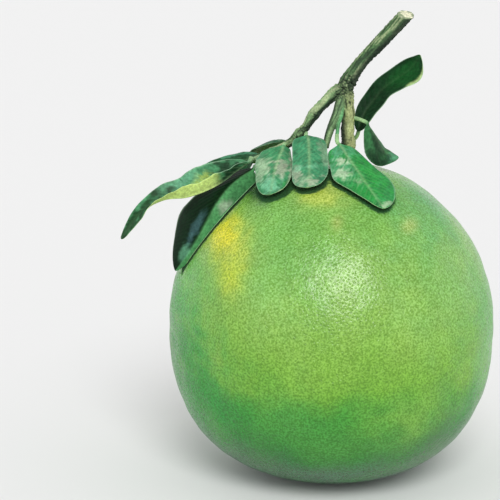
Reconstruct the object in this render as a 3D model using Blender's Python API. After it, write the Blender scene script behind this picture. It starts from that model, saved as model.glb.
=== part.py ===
"""A whole green pomelo, as picked: the fruit, the cut twig that it grew on, and nine leaves.

Metres, +Z up. The origin is the centre of the small flat spot that the fruit rests on, and the
side with the draped leaves faces -Y.
"""

import bmesh
import bpy
import numpy as np

MM = 0.001

# Driving dimensions of the fruit.
FRUIT_RADIUS = 80.2 * MM
WIDEST_HEIGHT = 76.3 * MM
TOP_HEIGHT = 81.0 * MM  # from the widest ring up to the crown
BASE_DEPTH = 77.0 * MM  # from the widest ring down to the base, before the flat spot
BASE_SQUARENESS = 2.5  # exponent of the lower half's superellipse
FLAT_SPOT_RADIUS = 18.0 * MM
UNEVENNESS = 0.006  # share by which the fruit's girth strays from a circle
STEM_END = np.array([8.4, 1.5]) * MM  # where the stalk enters, a little off the axis
DIMPLE_DEPTH = 2.6 * MM
DIMPLE_RADIUS = 11.0 * MM
CROWN_RADIUS = 36.0 * MM  # rings inside this one close in on the stem end
FURROWS = 6
FURROW_SHARE = 0.25  # how far the furrows round the stalk deepen the dimple
FRUIT_SIDES = 56
FRUIT_RINGS = 30

# The gap kept between pieces that touch or grow from one another.
GAP = 0.6 * MM

# The leaves' own measures.
BLADE_THICKNESS = 0.75 * MM
MIDRIB_THICKNESS = 1.2 * MM
STALK_THICKNESS = 1.8 * MM
STALK_HALF_WIDTH = 1.0 * MM
LEAF_STATIONS = 22
LEAF_COLUMNS = 9

TUBE_SIDES = 12

GREEN_RIND = (0.18, 0.42, 0.07)
BARK = (0.16, 0.24, 0.09)
LEAF_GREEN = (0.05, 0.25, 0.11)
DARK_LEAF_GREEN = (0.02, 0.09, 0.04)
PALE_LEAF_GREEN = (0.30, 0.48, 0.16)


def clear_the_scene():
    for thing in list(bpy.data.objects):
        bpy.data.objects.remove(thing, do_unlink=True)


def finish_of(name, colour, roughness):
    """A plain material for one kind of surface, made once."""
    if name in bpy.data.materials:
        return bpy.data.materials[name]
    made = bpy.data.materials.new(name)
    made.use_nodes = True
    shader = made.node_tree.nodes["Principled BSDF"]
    shader.inputs["Base Color"].default_value = (*colour, 1.0)
    shader.inputs["Roughness"].default_value = roughness
    shader.inputs["Metallic"].default_value = 0.0
    return made


def object_from(name, points, faces, material, smooth=True):
    """Puts points and faces into the scene as one named object."""
    mesh = bpy.data.meshes.new(name)
    mesh.from_pydata([tuple(p) for p in points], [], [tuple(int(i) for i in f) for f in faces])
    mesh.materials.append(material)
    if smooth:
        mesh.shade_smooth()
    mesh.update()
    thing = bpy.data.objects.new(name, mesh)
    bpy.context.collection.objects.link(thing)
    return thing


# The fruit


def girth(turn):
    """How much wider the fruit is than a true circle at an angle round its axis."""
    return 1 + UNEVENNESS * (np.cos(2 * turn + 0.7) + 0.6 * np.cos(3 * turn - 1.1))


def crown_height(x, y):
    """The rind's height over a point of the upper half: an ellipse of revolution, less the
    dimple round the stalk, which is a bell curve deepened along six faint furrows."""
    out = np.hypot(x, y) / (FRUIT_RADIUS * girth(np.arctan2(y, x)))
    height = WIDEST_HEIGHT + TOP_HEIGHT * np.sqrt(np.clip(1 - out**2, 0, None))
    dx = x - STEM_END[0]
    dy = y - STEM_END[1]
    away = np.hypot(dx, dy) / DIMPLE_RADIUS
    furrow = FURROW_SHARE * np.cos(FURROWS * np.arctan2(dy, dx)) * np.minimum(away, 1)
    return height - DIMPLE_DEPTH * np.exp(-(away**2)) * (1 + furrow)


def profile(count):
    """Radius and height down the fruit's side, evenly spaced: half an ellipse over the widest
    ring, half a superellipse under it, ending at the flat spot's edge."""
    fine = np.linspace(0, np.pi / 2, 400)
    upper_r = FRUIT_RADIUS * np.sin(fine)
    upper_z = WIDEST_HEIGHT + TOP_HEIGHT * np.cos(fine)
    power = 2 / BASE_SQUARENESS
    lower_r = FRUIT_RADIUS * np.cos(fine) ** power
    lower_z = WIDEST_HEIGHT - BASE_DEPTH * np.sin(fine) ** power
    kept = lower_r > FLAT_SPOT_RADIUS
    r = np.concatenate([upper_r, lower_r[kept][1:], [FLAT_SPOT_RADIUS]])
    z = np.concatenate([upper_z, lower_z[kept][1:], [0.0]])
    run = np.concatenate([[0], np.cumsum(np.hypot(np.diff(r), np.diff(z)))])
    wanted = np.linspace(0, run[-1], count + 1)[1:]
    return np.interp(wanted, run, r), np.interp(wanted, run, z)


def make_fruit():
    """The whole fruit: rings of points round the axis, drawn in on the stem end at the top and
    closed by the flat spot at the bottom."""
    ring_r, ring_z = profile(FRUIT_RINGS)
    turn = np.arange(FRUIT_SIDES) * 2 * np.pi / FRUIT_SIDES
    drawn_in = np.clip(1 - (ring_r / CROWN_RADIUS) ** 2, 0, None) ** 2
    r = ring_r[:, None] * girth(turn)[None, :]
    x = r * np.cos(turn) + drawn_in[:, None] * STEM_END[0]
    y = r * np.sin(turn) + drawn_in[:, None] * STEM_END[1]
    upper = (ring_z > WIDEST_HEIGHT)[:, None]
    z = np.where(upper, crown_height(x, y), ring_z[:, None])
    z = np.maximum(z, 0.0)
    points = np.stack([x, y, z], axis=2).reshape(-1, 3)
    top = np.array([[*STEM_END, crown_height(*STEM_END)]])
    points = np.concatenate([points, top])
    crown = len(points) - 1
    side = np.arange(FRUIT_SIDES)
    after = (side + 1) % FRUIT_SIDES
    faces = [(crown, a, b) for a, b in zip(side, after)]
    for ring in range(FRUIT_RINGS - 1):
        high = ring * FRUIT_SIDES
        low = high + FRUIT_SIDES
        faces += [(high + a, low + a, low + b, high + b) for a, b in zip(side, after)]
    last = (FRUIT_RINGS - 1) * FRUIT_SIDES
    faces.append(tuple(last + side[::-1]))
    return object_from("fruit", points, faces, finish_of("rind", GREEN_RIND, 0.38))


# Curves and frames that the twig and the leaves share


def smooth(values, share):
    """A value that passes smoothly through the given ones as share goes from 0 to 1."""
    values = np.asarray(values, float)
    ends = np.concatenate([[2 * values[0] - values[1]], values, [2 * values[-1] - values[-2]]])
    t = np.clip(share, 0, 1) * (len(values) - 1)
    i = np.minimum(t.astype(int), len(values) - 2)
    f = (t - i).reshape(-1, *[1] * (values.ndim - 1))
    a, b, c, d = ends[i], ends[i + 1], ends[i + 2], ends[i + 3]
    return 0.5 * (
        2 * b + (c - a) * f + (2 * a - 5 * b + 4 * c - d) * f**2 + (3 * b - a - 3 * c + d) * f**3
    )


def curve_through(stops, share):
    """Points on a smooth curve through the stops, at shares of its length."""
    fine = smooth(stops, np.linspace(0, 1, 60 * len(stops)))
    run = np.concatenate([[0], np.cumsum(np.linalg.norm(np.diff(fine, axis=0), axis=1))])
    return np.stack([np.interp(share * run[-1], run, fine[:, k]) for k in range(3)], axis=1)


def unit(vectors):
    return vectors / np.linalg.norm(vectors, axis=-1, keepdims=True)


# The twig


# Each branch: its stops in millimetres and its radii, spread evenly from end to end.
STEM = dict(
    stops=[(5.4, 1, 188.5), (6.1, 1, 192.3), (7.0, 1.2, 195.6), (10.3, 2, 200.8),
           (15.2, 3, 207.2), (22.9, 4, 215.1), (31.4, 4.6, 224.1), (35.6, 5, 228.6)],
    radii=[3.0, 3.8, 3.9, 3.4, 3.2, 3.1, 3.3, 3.5, 3.6, 3.6, 3.5, 3.5],
    sides=14,
)
LEAFY_SHOOT = dict(
    stops=[(6.4, 1, 193), (3.4, 1, 192.2), (0.4, 1, 190.2), (-3.1, 1, 186.8), (-7.5, 1, 182.3),
           (-10.5, 1, 178.4), (-12.8, 1.2, 174.4), (-15.7, 1.5, 171.0), (-19.3, 1.8, 167.2),
           (-24.0, 1.8, 164.2), (-29.4, 1.8, 161.8), (-33.6, 1.8, 160.0)],
    radii=[2.6, 3.3, 2.9, 2.7, 2.6, 2.9, 2.3, 2.1, 2.7, 2.2, 2.1, 2.1, 2.2, 1.5],
)
FRUIT_STALK = dict(
    stops=[(6.2, 1, 194.5), (6.9, 1, 189.5), (7.3, 1, 184.4), (7.6, 1, 177.6), (7.6, 1.2, 171),
           (8.2, 1.4, 164), (8.4, 1.5, 155.4)],
    radii=[2.4, 3.5, 3.5, 3.2, 3.5, 3.1, 3.3, 3.1, 3.5, 3.1, 3.0, 3.4],
)
MIDDLE_SHOOT = dict(
    stops=[(5.6, 0.4, 190.6), (3.8, -1.2, 187.3), (2.2, -2.6, 182.0), (0.3, -3.4, 177.2),
           (-1.5, -4.0, 172.4), (-2.7, -4.6, 168.1), (-3.4, -5.2, 164.7)],
    radii=[1.8, 2.3, 2.1, 2.0, 1.8, 1.5],
    sides=8,
)
THIN_SHOOT = dict(
    stops=[(4.6, -1.6, 186.4), (4.2, -3.2, 181.4), (2.7, -4.3, 175.6), (2.1, -4.8, 171.2)],
    radii=[0.9, 1.1, 0.9, 0.9],
    sides=7,
)
CUT_NORMAL = np.array([0.24, -0.45, 0.86])  # the knife's plane across the top of the stem
CALYX_RADIUS = 5.6 * MM
CALYX_LOBE = 1.3 * MM
CALYX_THICKNESS = 1.5 * MM
CALYX_SIDES = 30


def tube(name, branch, material, cut_normal=None, stations=14):
    """A branch: rings of points carried along its curve, capped at both ends. With a cut
    normal, the last ring is slid along the branch onto the knife's plane."""
    sides = branch.get("sides", TUBE_SIDES)
    share = np.linspace(0, 1, stations)
    line = curve_through(np.array(branch["stops"]) * MM, share)
    radius = smooth(branch["radii"], share) * MM
    along = unit(np.gradient(line, axis=0))
    across = unit(np.cross(along, [0.0, -1.0, 0.2]))
    upward = np.cross(across, along)
    turn = np.arange(sides) * 2 * np.pi / sides
    rings = line[:, None] + radius[:, None, None] * (
        across[:, None] * np.cos(turn)[None, :, None] + upward[:, None] * np.sin(turn)[None, :, None]
    )
    if cut_normal is not None:
        height = (line[-1] - rings[-1]) @ cut_normal
        rings[-1] += np.outer(height / (along[-1] @ cut_normal), along[-1])
    points = rings.reshape(-1, 3)
    side = np.arange(sides)
    after = (side + 1) % sides
    faces = [tuple(side), tuple((stations - 1) * sides + side[::-1])]
    for ring in range(stations - 1):
        low = ring * sides
        high = low + sides
        faces += [(low + b, low + a, high + a, high + b) for a, b in zip(side, after)]
    made = object_from(name, points, faces, material)
    face_outwards(made)
    return made


def face_outwards(thing):
    """Turns a closed mesh's faces so that they all point out."""
    shape = bmesh.new()
    shape.from_mesh(thing.data)
    bmesh.ops.recalc_face_normals(shape, faces=shape.faces)
    shape.to_mesh(thing.data)
    shape.free()


def calyx(material):
    """The five-lobed green cap under the stalk: a disc whose underside follows the dimple and
    whose edge waves in and out five times."""
    turn = np.arange(CALYX_SIDES) * 2 * np.pi / CALYX_SIDES
    reach = CALYX_RADIUS + CALYX_LOBE * np.cos(5 * turn + 0.6)
    shares = (0.4, 0.75, 1.0)
    swell = (1.0, 0.8, 0.35)  # how thick the cap is at each ring, as a share
    rings = []
    for share in shares:
        x = STEM_END[0] + share * reach * np.cos(turn)
        y = STEM_END[1] + share * reach * np.sin(turn)
        rings.append(np.stack([x, y, crown_height(x, y) + GAP], axis=1))
    for share, thick in zip(shares[::-1], swell[::-1]):
        x = STEM_END[0] + share * reach * np.cos(turn)
        y = STEM_END[1] + share * reach * np.sin(turn)
        z = crown_height(x, y) + GAP + thick * CALYX_THICKNESS
        rings.append(np.stack([x, y, z], axis=1))
    points = np.concatenate(rings)
    side = np.arange(CALYX_SIDES)
    after = (side + 1) % CALYX_SIDES
    faces = [tuple(side[::-1]), tuple((len(rings) - 1) * CALYX_SIDES + side)]
    for ring in range(len(rings) - 1):
        low = ring * CALYX_SIDES
        high = low + CALYX_SIDES
        faces += [(low + a, low + b, high + b, high + a) for a, b in zip(side, after)]
    made = object_from("calyx", points, faces, material)
    face_outwards(made)
    return made


def make_twig():
    """The cut stem, the leafy shoot, the fruit's own stalk with its calyx and the two green
    shoots, joined into one piece."""
    bark = finish_of("bark", BARK, 0.75)
    stem = tube("twig", STEM, bark, cut_normal=unit(CUT_NORMAL), stations=16)
    joined = bpy.data.collections.new("twig_branches")
    bpy.context.scene.collection.children.link(joined)
    branches = [
        tube("leafy_shoot", LEAFY_SHOOT, bark, stations=20),
        tube("fruit_stalk", FRUIT_STALK, bark, stations=15),
        tube("middle_shoot", MIDDLE_SHOOT, bark, stations=9),
        tube("thin_shoot", THIN_SHOOT, bark, stations=6),
        calyx(bark),
    ]
    for branch in branches:
        bpy.context.collection.objects.unlink(branch)
        joined.objects.link(branch)
    union = stem.modifiers.new("branches", "BOOLEAN")
    union.operation = "UNION"
    union.operand_type = "COLLECTION"
    union.solver = "MANIFOLD"
    union.collection = joined
    graph = bpy.context.evaluated_depsgraph_get()
    fused = bpy.data.meshes.new_from_object(stem.evaluated_get(graph))
    stem.modifiers.clear()
    stem.data = fused
    for branch in branches:
        bpy.data.objects.remove(branch, do_unlink=True)
    bpy.data.collections.remove(joined)
    return stem


# The leaves


# path: the midrib from the twig to the tip, in millimetres. stalk: the stalk's share of it.
# face: which way the upper side looks, from base to tip. left and right: half widths of the
# blade in millimetres, closer together towards both of its ends. fold: how each half lifts from
# flat at the midrib, left first, and curl: how much more it turns by its edge, in degrees from
# base to tip. wave: height, number and start of the edge's waves, in millimetres, waves and
# turns, and calm: the share of its height that the left edge has. wing: half width of the winged
# stalk in millimetres. lie: how far above the rind the blade's middle stays.
LEAVES = {
    "leaf_front_left": dict(
        path=[(-23.4, -2.6, 166.0), (-24.6, -6.4, 163.9), (-26.6, -12.4, 160.0),
              (-28.4, -19.2, 155.4), (-29.7, -26.0, 150.4), (-30.6, -32.5, 145.6)],
        face=[(0, 0.1, 1), (-0.15, -0.3, 1), (-0.3, -0.6, 0.8), (-0.35, -0.75, 0.6)],
        left=[0, 9.5, 11.6, 11.6, 10.6, 9.0, 6.4, 3.4, 0],
        right=[0, 3.5, 5.2, 7.2, 8.6, 8.8, 8.0, 5.0, 0],
        stalk=0.05, fold=([8, -4], [-4, -4]), curl=([-24, -20], [-10, -15]),
        wave=(0.8, 2.3, 0.1), lie=0.9, colour=LEAF_GREEN,
    ),
    "leaf_front_middle": dict(
        path=[(-13.0, -3.4, 169.6), (-12.2, -6.0, 170.6), (-11.8, -11.5, 167.4),
              (-11.8, -19.5, 161.8), (-12.1, -28.0, 155.6), (-12.9, -36.0, 149.6)],
        face=[(0, 0.3, 1), (0, -0.5, 1), (-0.1, -0.7, 0.8), (-0.1, -0.8, 0.55)],
        left=[0, 6.0, 8.0, 8.2, 8.3, 8.5, 7.6, 4.8, 0],
        right=[0, 7.0, 8.8, 9.0, 9.2, 9.0, 7.6, 4.8, 0],
        stalk=0.05, fold=([-5, -4], [-5, -4]), curl=([-8, -12], [-8, -12]),
        wave=(0.3, 1.6, 0.4), lie=2.9, colour=LEAF_GREEN,
    ),
    "leaf_front_right": dict(
        path=[(2.2, -7.2, 167.8), (4.0, -9.4, 166.0), (7.7, -17.0, 161.0), (12.2, -26.5, 155.4),
              (17.0, -36.0, 149.2), (22.6, -45.0, 142.0)],
        face=[(-0.1, 0, 1), (0.1, -0.3, 1), (0.15, -0.5, 0.9), (0.25, -0.62, 0.75)],
        left=[0, 6.6, 9.4, 11.8, 13.6, 9.8, 5.8, 2.8, 0],
        right=[0, 5.6, 8.8, 11.4, 13.8, 14.2, 10.6, 5.2, 0],
        stalk=0.04, fold=([2, -2], [2, -2]), curl=([-24, -14], [-24, -14]),
        wave=(0.4, 1.5, 0.3), lie=0.9, colour=LEAF_GREEN,
    ),
    "leaf_upright": dict(
        path=[(12.4, 3.8, 169.6), (13.9, 5.5, 175.0), (16.9, 8.5, 181.0), (20.9, 10.3, 186.2),
              (25.8, 11.0, 192.1), (33.1, 10.6, 197.6), (38.8, 9.0, 202.2), (42.8, 6.2, 208.8)],
        face=[(-0.5, -0.7, 0.5), (-0.4, -0.75, 0.5), (-0.35, -0.8, 0.5), (-0.25, -0.8, 0.5)],
        left=[0, 4.2, 6.4, 7.3, 7.7, 9.0, 10.2, 5.4, 0],
        right=[0, 2.2, 4.2, 5.5, 5.9, 5.8, 5.2, 2.0, 0],
        stalk=0.04, fold=([10, 10], [14, 10]), curl=([10, 20], [10, 10]),
        wave=(0.5, 1.5, 0.0), lie=0.9, colour=DARK_LEAF_GREEN,
    ),
    "leaf_small_folded": dict(
        path=[(12.4, -0.6, 178.4), (14.3, -1.6, 177.8), (17.0, -3.0, 176.6), (19.8, -3.5, 172.4),
              (22.6, -4.5, 167.4), (25.4, -6.0, 163.0), (32.0, -8.0, 160.2)],
        face=[(0.2, -0.5, 0.8), (0.2, -0.95, 0.2), (0.2, -0.95, 0.2), (-0.1, -0.7, 0.7)],
        left=[0, 2.6, 4.6, 6.6, 8.4, 8.0, 4.6, 2.0, 0],
        right=[0, 1.8, 3.4, 4.8, 5.4, 4.8, 3.0, 1.6, 0],
        stalk=0.2, fold=([-10, -20], [-100, -30]), curl=([-10, -10], [-10, -10]),
        wave=(0.2, 1.2, 0.0), lie=0.9, colour=LEAF_GREEN,
    ),
    "leaf_left_curled": dict(
        path=[(-36.2, 0.6, 159.4), (-40.7, -2.6, 157.4), (-47.1, -5.6, 153.4), (-53.9, -9.0, 148.6),
              (-62.1, -12.5, 144.8), (-71.3, -15.0, 142.2), (-80.9, -17.0, 141.6),
              (-89.5, -19.0, 138.1), (-96.3, -20.5, 131.5), (-102.7, -20.5, 122.6)],
        face=[(0, -0.2, 1), (-0.1, -0.3, 1), (-0.1, -0.3, 1), (-0.5, -0.6, 0.7)],
        left=[0, 4.0, 9.0, 12.4, 10.0, 5.6, 3.6, 1.8, 0],
        right=[0, 3.0, 6.2, 7.6, 7.4, 5.4, 3.6, 1.8, 0],
        stalk=0.08, wing=2.2, fold=([44, 52, 50, 26, 0], [50, 66, 66, 24, -24]),
        curl=([16, 10], [12, 0]), wave=(1.1, 4.8, 0.73), calm=0.3, lie=0.9, colour=PALE_LEAF_GREEN,
    ),
    "leaf_left_folded": dict(
        path=[(-36.0, -2.6, 155.6), (-41.7, -5.6, 152.6), (-46.6, -9.5, 149.8), (-51.9, -14.5, 145.4),
              (-56.7, -18.5, 139.2), (-60.8, -21.0, 132.0), (-65.2, -21.8, 123.8),
              (-70.5, -20.5, 115.2), (-76.6, -17.6, 106.1)],
        face=[(-0.25, -0.5, 1), (-0.45, -0.75, 0.5), (-0.5, -0.75, 0.4), (-0.6, -0.72, 0.3)],
        left=[0, 8.0, 10.8, 15.8, 20.8, 22.2, 16.6, 8.6, 0],
        right=[0, 6.4, 10.4, 11.6, 9.6, 6.0, 3.2, 1.4, 0],
        stalk=0.05, fold=([-16, -6], [-26, -42]), curl=([-10, -16], [-10, -10]),
        wave=(0.4, 2.0, 0.0), lie=0.9, colour=DARK_LEAF_GREEN,
    ),
    "leaf_left_back": dict(
        path=[(-35.0, 4.6, 160.0), (-41.2, 9.0, 157.0), (-50.2, 12.0, 153.6), (-61.2, 13.0, 150.8),
              (-70.6, 11.6, 149.2)],
        face=[(0, -0.4, 1), (0, -0.6, 0.8), (-0.1, -0.6, 0.8), (-0.3, -0.5, 0.8)],
        left=[0, 3.0, 6.4, 8.4, 8.8, 7.0, 4.4, 2.2, 0],
        right=[0, 8.6, 10.8, 11.0, 10.6, 8.0, 4.6, 2.2, 0],
        stalk=0.06, wing=2.0, fold=([-6, -8], [-6, -8]), curl=([-8, -12], [-8, -12]),
        wave=(0.5, 2.0, 0.5), lie=1.2, colour=DARK_LEAF_GREEN,
    ),
    "leaf_back_short": dict(
        path=[(-23.2, 4.8, 165.4), (-26.2, 11.0, 166.4), (-30.2, 19.0, 164.0), (-35.0, 28.0, 158.0),
              (-40.0, 36.0, 150.4)],
        face=[(0, -0.1, 1), (-0.1, 0.1, 1), (-0.3, 0.4, 0.9), (-0.4, 0.6, 0.8)],
        left=[0, 4.0, 7.0, 9.4, 10.4, 9.6, 7.0, 4.0, 0],
        right=[0, 4.0, 7.0, 9.4, 10.4, 9.6, 7.0, 4.0, 0],
        stalk=0.08, wing=2.2, fold=([-6, -8], [-6, -8]), curl=([-14, -16], [-14, -16]),
        wave=(0.5, 2.0, 0.2), lie=0.9, colour=DARK_LEAF_GREEN,
    ),
}


def half_widths(leaf, share):
    """Half the leaf's width along its midrib, for the left and the right half: the stalk, its
    small wing, then the blade, whose measured widths lie closer together towards both ends so
    that an end can be round."""
    stalk = leaf["stalk"]
    blade = np.clip((share - stalk) / (1 - stalk), 0, 1)
    step = np.arccos(1 - 2 * blade) / np.pi
    wing = leaf.get("wing", 0) * np.exp(-(((share / stalk - 0.6) / 0.25) ** 2))
    least = STALK_HALF_WIDTH / MM * np.where(share > stalk, 0.5, 1)
    return [np.maximum(np.maximum(smooth(leaf[side], step), wing), least) * MM
            for side in ("left", "right")]


def off_the_rind(points, gap):
    """Pushes points that would sink into the fruit out along the line from its centre, onto a
    surface that stands the gap off the rind."""
    centre = np.array([0, 0, WIDEST_HEIGHT])
    out = points - centre
    round_axis = girth(np.arctan2(points[..., 1], points[..., 0]))
    reach = np.sqrt(
        (np.hypot(out[..., 0], out[..., 1]) / (FRUIT_RADIUS * round_axis + gap)) ** 2
        + (out[..., 2] / (TOP_HEIGHT + gap)) ** 2
    )
    return centre + out * np.maximum(1 / reach, 1)[..., None]


def blade_surface(leaf):
    """The middle of the leaf as a grid of points, stations along the midrib by columns across
    it. Each half leaves the midrib at its fold angle and turns by its curl on the way to the
    edge, where it waves."""
    even = np.linspace(0, 1, LEAF_STATIONS)
    share = 0.995 * (0.45 * even + 0.55 * (1 - np.cos(np.pi * even)) / 2)
    line = curve_through(np.array(leaf["path"]) * MM, share)
    along = unit(np.gradient(line, axis=0))
    face = smooth(leaf["face"], share)
    face = unit(face - (face * along).sum(axis=1, keepdims=True) * along)
    aside = np.cross(along, face)
    t = np.linspace(-1, 1, LEAF_COLUMNS)
    left = t > 0
    widths = half_widths(leaf, share)
    width = np.where(left, widths[0][:, None], widths[1][:, None])
    fold = np.where(left, *[smooth(turn, share)[:, None] for turn in leaf["fold"]])
    curl = np.where(left, *[smooth(turn, share)[:, None] for turn in leaf["curl"]])
    out = np.abs(t)[None, :]
    bend = np.radians(fold + curl * out / 2)
    sideways = width * out * np.cos(bend) * np.sign(t)[None, :]
    height, number, start = leaf["wave"]
    height = height * MM * np.where(left, leaf.get("calm", 1), 1)
    swing = np.sin(2 * np.pi * (number * share[:, None] + start + 0.37 * left[None, :]))
    lift = width * out * np.sin(bend) + height * swing * out**2 * width / width.max()
    surface = line[:, None] + aside[:, None] * sideways[..., None] + face[:, None] * lift[..., None]
    return off_the_rind(surface, leaf["lie"] * MM), share, t


def leaf_thickness(leaf, share, t):
    """Thick at the stalk, thin over the blade, and a little thicker along the midrib."""
    rib = np.exp(-((t / 0.16) ** 2))[None, :]
    fading = np.clip(1 - share, 0.25, 1)[:, None]
    blade = BLADE_THICKNESS + (MIDRIB_THICKNESS - BLADE_THICKNESS) * rib * fading
    stalk = STALK_THICKNESS * np.sqrt(1 - 0.8 * t**2)[None, :]
    on_stalk = np.clip(2 - share / leaf["stalk"], 0, 1)[:, None] ** 2
    return blade * (1 - on_stalk) + stalk * on_stalk


def closed_sheet(surface, thickness):
    """A sheet of the given thickness round a grid of points: the upper and lower grids stand
    off along the surface's own normal, split into triangles alike, with a rim round them."""
    rows, columns, _ = surface.shape
    normal = unit(np.cross(np.gradient(surface, axis=0), np.gradient(surface, axis=1)))
    upper = surface + normal * thickness[..., None] / 2
    lower = surface - normal * thickness[..., None] / 2
    points = np.concatenate([upper.reshape(-1, 3), lower.reshape(-1, 3)])
    count = rows * columns
    index = np.arange(count).reshape(rows, columns)
    a, b = index[:-1, :-1].ravel(), index[:-1, 1:].ravel()
    c, d = index[1:, 1:].ravel(), index[1:, :-1].ravel()
    one_way = (np.add.outer(np.arange(rows - 1), np.arange(columns - 1)) % 2 == 0).ravel()
    first = np.where(one_way[:, None], np.stack([a, b, c], 1), np.stack([a, b, d], 1))
    second = np.where(one_way[:, None], np.stack([a, c, d], 1), np.stack([b, c, d], 1))
    sheet = np.concatenate([first, second])
    rim = np.concatenate([index[0], index[1:, -1], index[-1, -2::-1], index[-2:0:-1, 0]])
    after = np.roll(rim, -1)
    edge = np.stack([after, rim, rim + count, after + count], 1)
    faces = [*map(tuple, sheet[:, ::-1]), *map(tuple, sheet + count), *map(tuple, edge)]
    return points, faces


def make_leaf(name, leaf):
    surface, share, t = blade_surface(leaf)
    points, faces = closed_sheet(surface, leaf_thickness(leaf, share, t))
    kind = {LEAF_GREEN: "leaf", DARK_LEAF_GREEN: "dark_leaf", PALE_LEAF_GREEN: "pale_leaf"}
    colour = leaf["colour"]
    made = object_from(name, points, faces, finish_of(kind[colour], colour, 0.42))
    face_outwards(made)
    return made


clear_the_scene()
make_fruit()
make_twig()
for leaf_name, measures in LEAVES.items():
    make_leaf(leaf_name, measures)
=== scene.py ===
"""Finishes the whole green pomelo with its cut twig and its leaves: a rind covered in oil-gland
pits, streaked bark with a pale cut end, and veined leathery leaves with a dusty bloom. All of it
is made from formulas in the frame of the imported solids, in metres.
"""

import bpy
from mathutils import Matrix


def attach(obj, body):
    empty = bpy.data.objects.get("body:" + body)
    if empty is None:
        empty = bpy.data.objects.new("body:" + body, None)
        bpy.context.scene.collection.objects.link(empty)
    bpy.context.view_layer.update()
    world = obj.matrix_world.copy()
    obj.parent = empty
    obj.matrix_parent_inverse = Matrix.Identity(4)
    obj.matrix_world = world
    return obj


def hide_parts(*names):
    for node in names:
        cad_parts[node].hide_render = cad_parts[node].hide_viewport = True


bl_info = {
    "name": "Pomelo with Leaves",
    "version": (1, 0, 0),
    "blender": (4, 5, 0),
    "location": "3D View > Sidebar > Pomelo",
    "description": "Makes a green pomelo as picked, with its cut twig and the leaves on it",
    "category": "Add Mesh",
}

import bmesh
import bpy
import numpy as np

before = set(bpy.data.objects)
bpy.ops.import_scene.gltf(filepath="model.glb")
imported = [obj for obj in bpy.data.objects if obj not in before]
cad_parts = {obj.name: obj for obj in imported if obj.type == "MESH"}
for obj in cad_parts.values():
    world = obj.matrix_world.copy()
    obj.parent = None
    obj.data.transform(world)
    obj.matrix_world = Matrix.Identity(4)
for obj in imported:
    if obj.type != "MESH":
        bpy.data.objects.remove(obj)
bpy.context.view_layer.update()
MM = 0.001

# Settings


def length(name, text, value):
    return bpy.props.FloatProperty(
        name=name, description=text, default=value, subtype="DISTANCE", unit="LENGTH", precision=5
    )


def share_of(name, text, value):
    return bpy.props.FloatProperty(name=name, description=text, default=value, precision=4)


def count_of(name, text, value):
    return bpy.props.IntProperty(name=name, description=text, default=value, min=1)


def colour(name, text, value):
    return bpy.props.FloatVectorProperty(
        name=name, description=text, default=value, subtype="COLOR", size=3, min=0, max=1
    )


class FruitSettings(bpy.types.PropertyGroup):
    """Sizes and colours of the fruit."""

    radius: length("Radius", "Half the width at the widest ring", 80.2 * MM)
    widest_height: length("Widest height", "Height of the widest ring", 76.3 * MM)
    top_height: length("Top height", "From the widest ring up to the crown", 81.0 * MM)
    base_depth: length("Base depth", "From the widest ring down to the base", 77.0 * MM)
    squareness: share_of("Base squareness", "Exponent of the lower half's superellipse", 2.5)
    flat_radius: length("Flat spot radius", "Of the spot that the fruit rests on", 18.0 * MM)
    unevenness: share_of("Unevenness", "Share by which the girth strays from a circle", 0.006)
    stem_x: length("Stem end X", "Where the stalk enters", 8.4 * MM)
    stem_y: length("Stem end Y", "Where the stalk enters", 1.5 * MM)
    dimple_depth: length("Dimple depth", "Of the dimple round the stalk", 2.6 * MM)
    dimple_radius: length("Dimple radius", "Of the dimple round the stalk", 11.0 * MM)
    furrows: count_of("Furrows", "Faint furrows that run into the dimple", 6)
    furrow_share: share_of("Furrow share", "How far the furrows deepen the dimple", 0.25)
    swell: length("Swell", "Height of the rind's broad soft bumps", 0.35 * MM)
    pits: count_of("Pits", "Oil-gland pits over the whole rind", 33000)
    pit_jitter: share_of("Pit jitter", "How unevenly the pits lie, as a share of their spacing", 0.55)
    pit_depth: length("Pit depth", "How deep a pit is", 0.08 * MM)
    rind: colour("Rind", "Share of the rind's colours that shows", (1.02, 1.01, 1.03))
    pit: colour("Pit", "Share of the rind's colour left in a pit", (0.78, 0.87, 0.64))
    # Painted shade: the colour that the rind takes close under a leaf.
    shade: colour("Shade", "The rind close under a leaf", (0.001, 0.048, 0.008))


class TwigSettings(bpy.types.PropertyGroup):
    """Sizes and colours of the twig."""

    voxel: length("Voxel", "Size of the cells that fuse the branches", 0.28 * MM)
    ridge: length("Ridge", "Height of the bark's ridges", 0.27 * MM)
    knot: length("Knot", "How far the knots stand out", 0.9 * MM)
    bark: colour("Bark", "The stem's green bark", (0.062, 0.140, 0.048))
    streak: colour("Streak", "Pale streaks along the bark", (0.31, 0.38, 0.20))
    stalk: colour("Stalk", "The fruit stalk's olive-brown bark", (0.35, 0.39, 0.165))
    shoot: colour("Shoot", "The left shoot's light green bark", (0.19, 0.33, 0.14))
    green: colour("Green shoot", "The thin green shoots", (0.10, 0.36, 0.14))
    # Also the colour of the painted shade on the bark's shaded sides.
    dark: colour("Crack", "Knots, cracks and the bark's shaded side", (0.008, 0.022, 0.010))
    wood: colour("Wood", "The cut end's pale wood", (0.74, 0.73, 0.52))


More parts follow.
